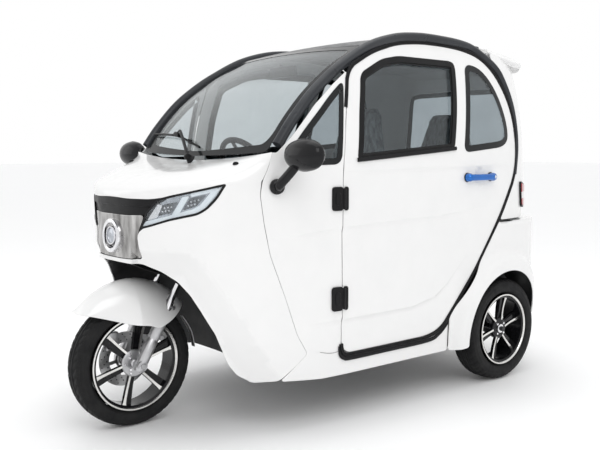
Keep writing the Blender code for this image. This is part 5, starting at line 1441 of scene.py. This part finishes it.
def rim_look(x, station, axle_z, half, flange, face, hub_radius, outward_way):
    """Black barrel, machined lip, six spokes (a machined blade beside a lower black one), hub and nuts."""
    centre = (x, station, axle_z)
    barrel = [(-half, flange), (-half + 0.006, flange), (-half + 0.010, flange - 0.013),
              (half - 0.010, flange - 0.013), (half - 0.006, flange), (half, flange),
              (half, flange - 0.006), (half - 0.008, flange - 0.019), (-half + 0.008, flange - 0.019),
              (-half, flange - 0.006)]
    parts = [lathe("barrel", barrel, centre, GLOSS_BLACK, 96)]
    s = outward_way
    lip = [(s * (half - 0.001), flange - 0.0005), (s * (half + 0.0012), flange - 0.0015),
           (s * (half + 0.0012), flange - 0.0075), (s * (half - 0.003), flange - 0.0105)]
    parts.append(lathe("lip", lip, centre, BRIGHT, 96))
    hub = [(face + s * 0.004, hub_radius * 0.30), (face + s * 0.007, hub_radius * 0.75),
           (face + s * 0.004, hub_radius), (face - s * 0.014, hub_radius * 1.02),
           (-s * (half - 0.012), hub_radius * 0.62), (-s * (half - 0.012), hub_radius * 0.28)]
    parts.append(lathe("hub", hub, centre, GLOSS_BLACK, 64))
    for i in range(6):
        turn = math.radians(60 * i + 18)
        way = Vector((0, math.cos(turn), math.sin(turn)))
        cross = Vector((0, -math.sin(turn), math.cos(turn)))
        inner_r, outer_r = hub_radius * 0.86, flange - 0.016
        for edge_sign in (-1, 1):
            rows = []
            sunk = 0.009 if edge_sign > 0 else 0.0
            for part in (0.0, 0.25, 0.5, 0.75, 0.9, 1.0):
                radius = inner_r + (outer_r - inner_r) * part
                apart = edge_sign * (0.0095 + 0.0065 * part ** 1.4)
                dish = s * (sunk + 0.004 * math.sin(part * math.pi))
                rows.append(Vector(centre) + Vector((face - dish, 0, 0)) + way * radius + cross * apart)
            section = [(0.0052, 0.006), (0.0058, 0.0045), (0.0060, -0.008), (-0.0060, -0.008),
                       (-0.0058, 0.0045), (-0.0052, 0.006)]
            parts.append(sweep("blade", rows, section, GLOSS_BLACK, [Vector((s, 0, 0))] * 6))
            if edge_sign < 0:
                top = [row + Vector((s * 0.0058, 0, 0)) for row in rows]
                thin = [(0.0050, 0.0), (0.0047, 0.0009), (-0.0047, 0.0009), (-0.0050, 0.0)]
                parts.append(sweep("face", top, thin, BRIGHT, [Vector((s, 0, 0))] * 6,
                                   sizes=[0.95, 0.95, 1.0, 1.1, 1.35, 2.0]))
        behind = Vector(centre) + Vector((face - s * 0.006, 0, 0))
        web = [behind + way * (inner_r + (outer_r - inner_r) * part) for part in (0.0, 0.5, 1.0)]
        parts.append(sweep("web", web, [(0.012, 0.003), (0.012, -0.003), (-0.012, -0.003), (-0.012, 0.003)],
                           GLOSS_BLACK, [Vector((s, 0, 0))] * 3, sizes=[0.8, 1.1, 1.4]))
    for i in range(4):
        turn = math.radians(90 * i + 45)
        spot = Vector(centre) + Vector((face + s * 0.006, hub_radius * 0.66 * math.cos(turn),
                                        hub_radius * 0.66 * math.sin(turn)))
        parts.append(tube("nut", spot, spot + Vector((s * 0.010, 0, 0)), [0.0068, 0.0068, 0.0052], CHROME,
                          6, [0, 0.75, 1]))
    return parts


def build_wheels():
    """Three wheels, the brake disc, the rear axle and its coil-over units."""
    place(tyre_look("front_tyre.look", 0.0, 0.0, FRONT_TYRE_R, FRONT_TYRE_HALF, FRONT_SEAT_R),
          "front_wheel", "front_tyre")
    parts = rim_look(0.0, 0.0, FRONT_TYRE_R, FRONT_RIM_HALF, FRONT_SEAT_R, SPOKE_FACE, HUB_R, 1)
    flange = tube("flange", (0.030, 0, FRONT_TYRE_R), (0.040, 0, FRONT_TYRE_R),
                  [0.056, 0.056, 0.053, 0.024], ALLOY, 48, [0, 0.5, 0.8, 1.0])
    bolts = []
    for i in range(6):
        turn = math.radians(60 * i)
        spot = Vector((0.037, 0.044 * math.cos(turn), FRONT_TYRE_R + 0.044 * math.sin(turn)))
        bolts.append(tube("bolt", spot, spot + Vector((0.007, 0, 0)), [0.0058, 0.0058, 0.0045], CHROME, 6,
                          [0, 0.8, 1]))
    spacer = tube("spacer", (0.038, 0, FRONT_TYRE_R), (0.064, 0, FRONT_TYRE_R),
                  [0.020, 0.018, 0.014, 0.014], ALLOY, 32, [0, 0.2, 0.3, 1])
    place(joined("front_rim.look", parts + [flange, spacer] + bolts), "front_wheel", "front_rim")
    build_disc()
    for name, s in (("left", 1), ("right", -1)):
        x = s * REAR_WHEEL_X
        place(tyre_look(name + "_rear_tyre.look", x, REAR_AXLE_STATION, REAR_TYRE_R, REAR_TYRE_HALF,
                        REAR_SEAT_R),
              name + "_rear_wheel", name + "_rear_tyre")
        parts = rim_look(x, REAR_AXLE_STATION, REAR_TYRE_R, REAR_RIM_HALF, REAR_SEAT_R, s * SPOKE_FACE,
                         HUB_R, s)
        face = x + s * 0.036
        parts.append(tube("cap", (face, REAR_AXLE_STATION, REAR_TYRE_R),
                          (face + s * 0.012, REAR_AXLE_STATION, REAR_TYRE_R),
                          [0.0215, 0.0225, 0.021, 0.016, 0.004], CHROME, 40, [0, 0.5, 0.8, 0.95, 1]))
        place(joined(name + "_rear_rim.look", parts), name + "_rear_wheel", name + "_rear_rim")
    place(rounded("rear_axle", 0.004, FRAME_STEEL, 3), "rear_suspension", "rear_axle")
    for name, s in (("left", 1), ("right", -1)):
        build_coil_over(name, s * COIL_X)


def build_disc():
    """A drilled brake disc on its carrier."""
    centre = (0, 0, FRONT_TYRE_R)
    right, left = DISC_SIDES
    disc = lathe("disc", [(right, DISC_IN_R), (left, DISC_IN_R), (left, DISC_R), (right, DISC_R)], centre,
                 STEEL, 96)
    carrier = [disc]
    for i in range(6):
        turn = math.radians(60 * i + 10)
        way = Vector((0, math.cos(turn), math.sin(turn)))
        path = [Vector(centre) + Vector((-0.056, 0, 0)) + way * r for r in (0.030, 0.050, 0.071)]
        flat = [(0.007, 0.0014), (0.007, -0.0014), (-0.007, -0.0014), (-0.007, 0.0014)]
        carrier.append(sweep("arm", path, flat, STEEL, [Vector((1, 0, 0))] * 3))
    carrier.append(lathe("ring", [(right, 0.0302), (left, 0.0302), (left, 0.040), (right, 0.040)], centre,
                         STEEL, 64))
    for row, radius in enumerate((0.078, 0.090, 0.102)):
        for i in range(18):
            turn = 2 * math.pi * (i + row / 3) / 18
            spot = Vector((-0.0573, radius * math.cos(turn), FRONT_TYRE_R + radius * math.sin(turn)))
            carrier.append(tube("drilling", spot - Vector((0.0004, 0, 0)), spot + Vector((0.0030, 0, 0)),
                                [0.0028, 0.0028], GLOSS_BLACK, 10))
    place(joined("brake_disc.look", carrier), "front_wheel", "brake_disc")


def build_coil_over(name, x):
    """A damper inside a coil spring."""
    y, low, high = REAR_AXLE_STATION, COIL_LOW, COIL_HIGH
    damper = tube("damper", (x, y, low + 0.002), (x, y, high - 0.002),
                  [0.022, 0.022, 0.010, 0.010, 0.017, 0.017, 0.024, 0.024],
                  FRAME_STEEL, 24, [0, 0.06, 0.07, 0.35, 0.36, 0.92, 0.93, 1])
    turns, per = COIL_TURNS, 28
    path = []
    for i in range(int(turns * per) + 1):
        t = 2 * math.pi * i / per
        path.append(Vector((x + COIL_R * math.cos(t), y + COIL_R * math.sin(t),
                            low + 0.018 + (high - low - 0.036) * i / (turns * per))))
    coil = sweep("coil", path, oval(0.0032, 0.0032, 8), CHROME, [Vector((0, 0, 1))] * len(path))
    obj = joined(name + "_coil_over.look", [damper, coil])
    place(obj, "body", name + "_coil_over")
    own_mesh(obj)


# ---- small fittings ------------------------------------------------------------------------------
def build_mirrors():
    """Two door mirrors, each with a pane, stalk and foot."""
    def look(name):
        centre, size = MIRROR_CENTRE, MIRROR_SIZE
        rows = []
        for i in range(25):
            t = math.pi * (0.02 + 0.96 * i / 24)
            rows.append((-math.cos(t) * size.x, math.sin(t) ** 0.72))
        verts, faces = [], []
        for x, r in rows:
            for j in range(32):
                a = 2 * math.pi * j / 32
                flat = 0.45 if math.cos(a) > 0 else 1.0
                verts.append(centre + Vector((x, size.y * r * math.cos(a) * flat,
                                              size.z * r * math.sin(a))))
        for i in range(len(rows) - 1):
            here, there = i * 32, i * 32 + 32
            faces += [(here + j, here + (j + 1) % 32, there + (j + 1) % 32, there + j) for j in range(32)]
        faces += [tuple(range(32)), tuple(range((len(rows) - 1) * 32, len(rows) * 32))]
        housing = outward(make("housing", verts, faces, GLOSS_BLACK))
        ring = [centre + Vector((size.x * 0.98 * math.cos(t), -0.004, size.z * 0.99 * math.sin(t)))
                for t in np.linspace(0, 2 * math.pi, 65)[:-1]]
        split = sweep("split", ring, oval(0.0012, 0.0020, 6), SEAL, [Vector((0, 1, 0))] * 64, closed=True)
        flat = [(size.x * 0.86 * math.cos(t), size.z * 0.84 * math.sin(t))
                for t in np.linspace(0, 2 * math.pi, 49)[:-1]]
        pane = skin("pane", lambda a, b: centre + Vector((-a, 0.0212, b)), flat, CHROME, spacing=0.02,
                    thickness=0.001, roll=0.0004)
        foot = side(0.350, 0.972) + 0.0030 * Vector((0.974, -0.225, 0))
        aside = Vector((0.974, -0.225, 0))
        base = tube("base", foot, foot + 0.018 * aside, [0.0300, 0.0300, 0.0275, 0.0200], GLOSS_BLACK, 32,
                    [0, 0.3, 0.8, 1])
        path = spline([foot + 0.014 * aside, foot + 0.034 * aside + Vector((0, 0, 0.012)),
                       Vector((0.592, 0.356, 1.025)), Vector((0.618, 0.372, 1.062))], 8)
        stalk = sweep("stalk", path, oval(0.0190, 0.0170, 18, 0.9), GLOSS_BLACK,
                      [Vector((0.3, 0.9, 0))] * len(path))
        return joined(name + ".look", [housing, split, pane, base, stalk])

    pair(look, "mirror", "@mirror", "@mirror")


def build_wiper():
    """The wiper with its boot, and the washer jets."""
    pivot, axis = WIPER_PIVOT, WIPER_AXIS
    cap = tube("cap", pivot, pivot + 0.030 * axis, [0.0135, 0.0135, 0.012, 0.006], BLACK, 24,
               [0, 0.6, 0.9, 1])
    boot = tube("boot", pivot - 0.004 * axis, pivot + 0.010 * axis, [0.021, 0.019, 0.016, 0.0145], SEAL, 28)
    arm_path = spline([(0.062, 0.246, 1.085), (0.020, 0.262, 1.112), (-0.131, 0.328, 1.190),
                       (-0.190, 0.350, 1.183)], 8)
    arm = sweep("arm", arm_path, oval(0.0068, 0.0038, 12, 0.8), BLACK,
                [Vector((0, -0.7, 0.7))] * len(arm_path),
                sizes=[1.25 - 0.45 * i / len(arm_path) for i in range(len(arm_path))])
    blade_path = spline([(-0.455, 0.390, 1.182), (-0.205, 0.360, 1.170), (0.020, 0.329, 1.121)], 14)
    blade = sweep("blade", blade_path, [(0.0050, 0.0), (0.0036, 0.0052), (-0.0036, 0.0052), (-0.0050, 0.0),
                                        (-0.0012, -0.006), (0.0012, -0.006)], BLACK,
                  [Vector((0, -0.75, 0.65))] * len(blade_path))
    clip_path = [Vector((-0.217, 0.354, 1.182)), Vector((-0.195, 0.350, 1.179)),
                 Vector((-0.172, 0.347, 1.174))]
    clip = sweep("clip", clip_path, oval(0.0085, 0.0075, 12, 0.6), BLACK, [Vector((0, -0.7, 0.7))] * 3)
    place(joined("wiper.look", [cap, arm, blade, clip]), "wiper", "wiper")
    place(boot, "body", ())

    def jet(name):
        spot = Vector((0.409, 0.240, 1.056))
        return tube(name + ".look", spot - Vector((0, 0, 0.002)), spot + Vector((0, 0, 0.010)),
                    [0.012, 0.012, 0.009, 0.004], BLACK, 20, [0, 0.4, 0.8, 1])

    pair(jet, "washer_jet", "body", None)


# ---- stage, light and camera ---------------------------------------------------------------------
def area_light(name, where, target, size, power, tall=None):
    """A rectangular light that faces its target."""
    light = bpy.data.lights.new(name, "AREA")
    light.shape, light.size, light.size_y, light.energy = "RECTANGLE", size, tall or size, power
    obj = bpy.data.objects.new(name, light)
    bpy.context.scene.collection.objects.link(obj)
    obj.location = where
    obj.rotation_euler = (Vector(target) - Vector(where)).to_track_quat("-Z", "Y").to_euler()
    return obj


def build_stage():
    """The studio floor, the light and the camera."""
    mesh = bpy.data.meshes.new("studio_floor")
    tool = bmesh.new()
    bmesh.ops.create_grid(tool, x_segments=12, y_segments=12, size=60)
    tool.to_mesh(mesh)
    tool.free()
    floor = bpy.data.objects.new("studio_floor", mesh)
    bpy.context.scene.collection.objects.link(floor)
    mesh.materials.append(finish("pale_floor", (0.985, 0.985, 0.985), (0.975, 0.975, 0.978), (0.6, 0.75),
                                 patch=0.6, grain=40.0, bump=0.01))
    world = bpy.data.worlds.new("studio")
    world.use_nodes = True
    tree = world.node_tree
    where = tree.nodes.new("ShaderNodeTexCoord")
    apart = tree.nodes.new("ShaderNodeSeparateXYZ")
    tree.links.new(where.outputs["Generated"], apart.inputs["Vector"])
    dimmer = remap(tree, apart.outputs["Z"], 0.0, 1.0, 0.55, 1.0)
    tree.links.new(blended(tree, dimmer, (1.0, 1.0, 1.0), (0.90, 0.91, 0.92)),
                   tree.nodes["Background"].inputs["Color"])
    bpy.context.scene.world = world
    lights = [area_light("key", (4.5, -2.5, 5.0), (0, 0, 0.7), 3.2, 70),
              area_light("top", (0.0, 0.2, 5.2), (0, 0, 0.5), 4.0, 45),
              area_light("fill", (-4.0, -3.5, 2.4), (0, 0, 0.7), 3.0, 12)]
    data = bpy.data.cameras.new("photo_camera")
    data.lens, data.sensor_width = CAMERA_LENS, 36.0
    camera = bpy.data.objects.new("photo_camera", data)
    bpy.context.scene.collection.objects.link(camera)
    camera.location = (CAMERA_PLACE[0], CAMERA_PLACE[1] - MID_STATION, CAMERA_PLACE[2])
    camera.rotation_euler = (math.pi / 2 - CAMERA_PITCH, 0.0, CAMERA_AZIMUTH)
    bpy.context.scene.camera = camera
    view = bpy.context.scene.view_settings
    view.view_transform, view.look, view.exposure = "Standard", "None", 0.0


for build in (build_front, build_lamps, build_upper, build_tail, build_fenders, build_doors, build_cabin,
              build_seats, build_fork, build_liner, build_wheels, build_mirrors, build_wiper, build_stage):
    build()
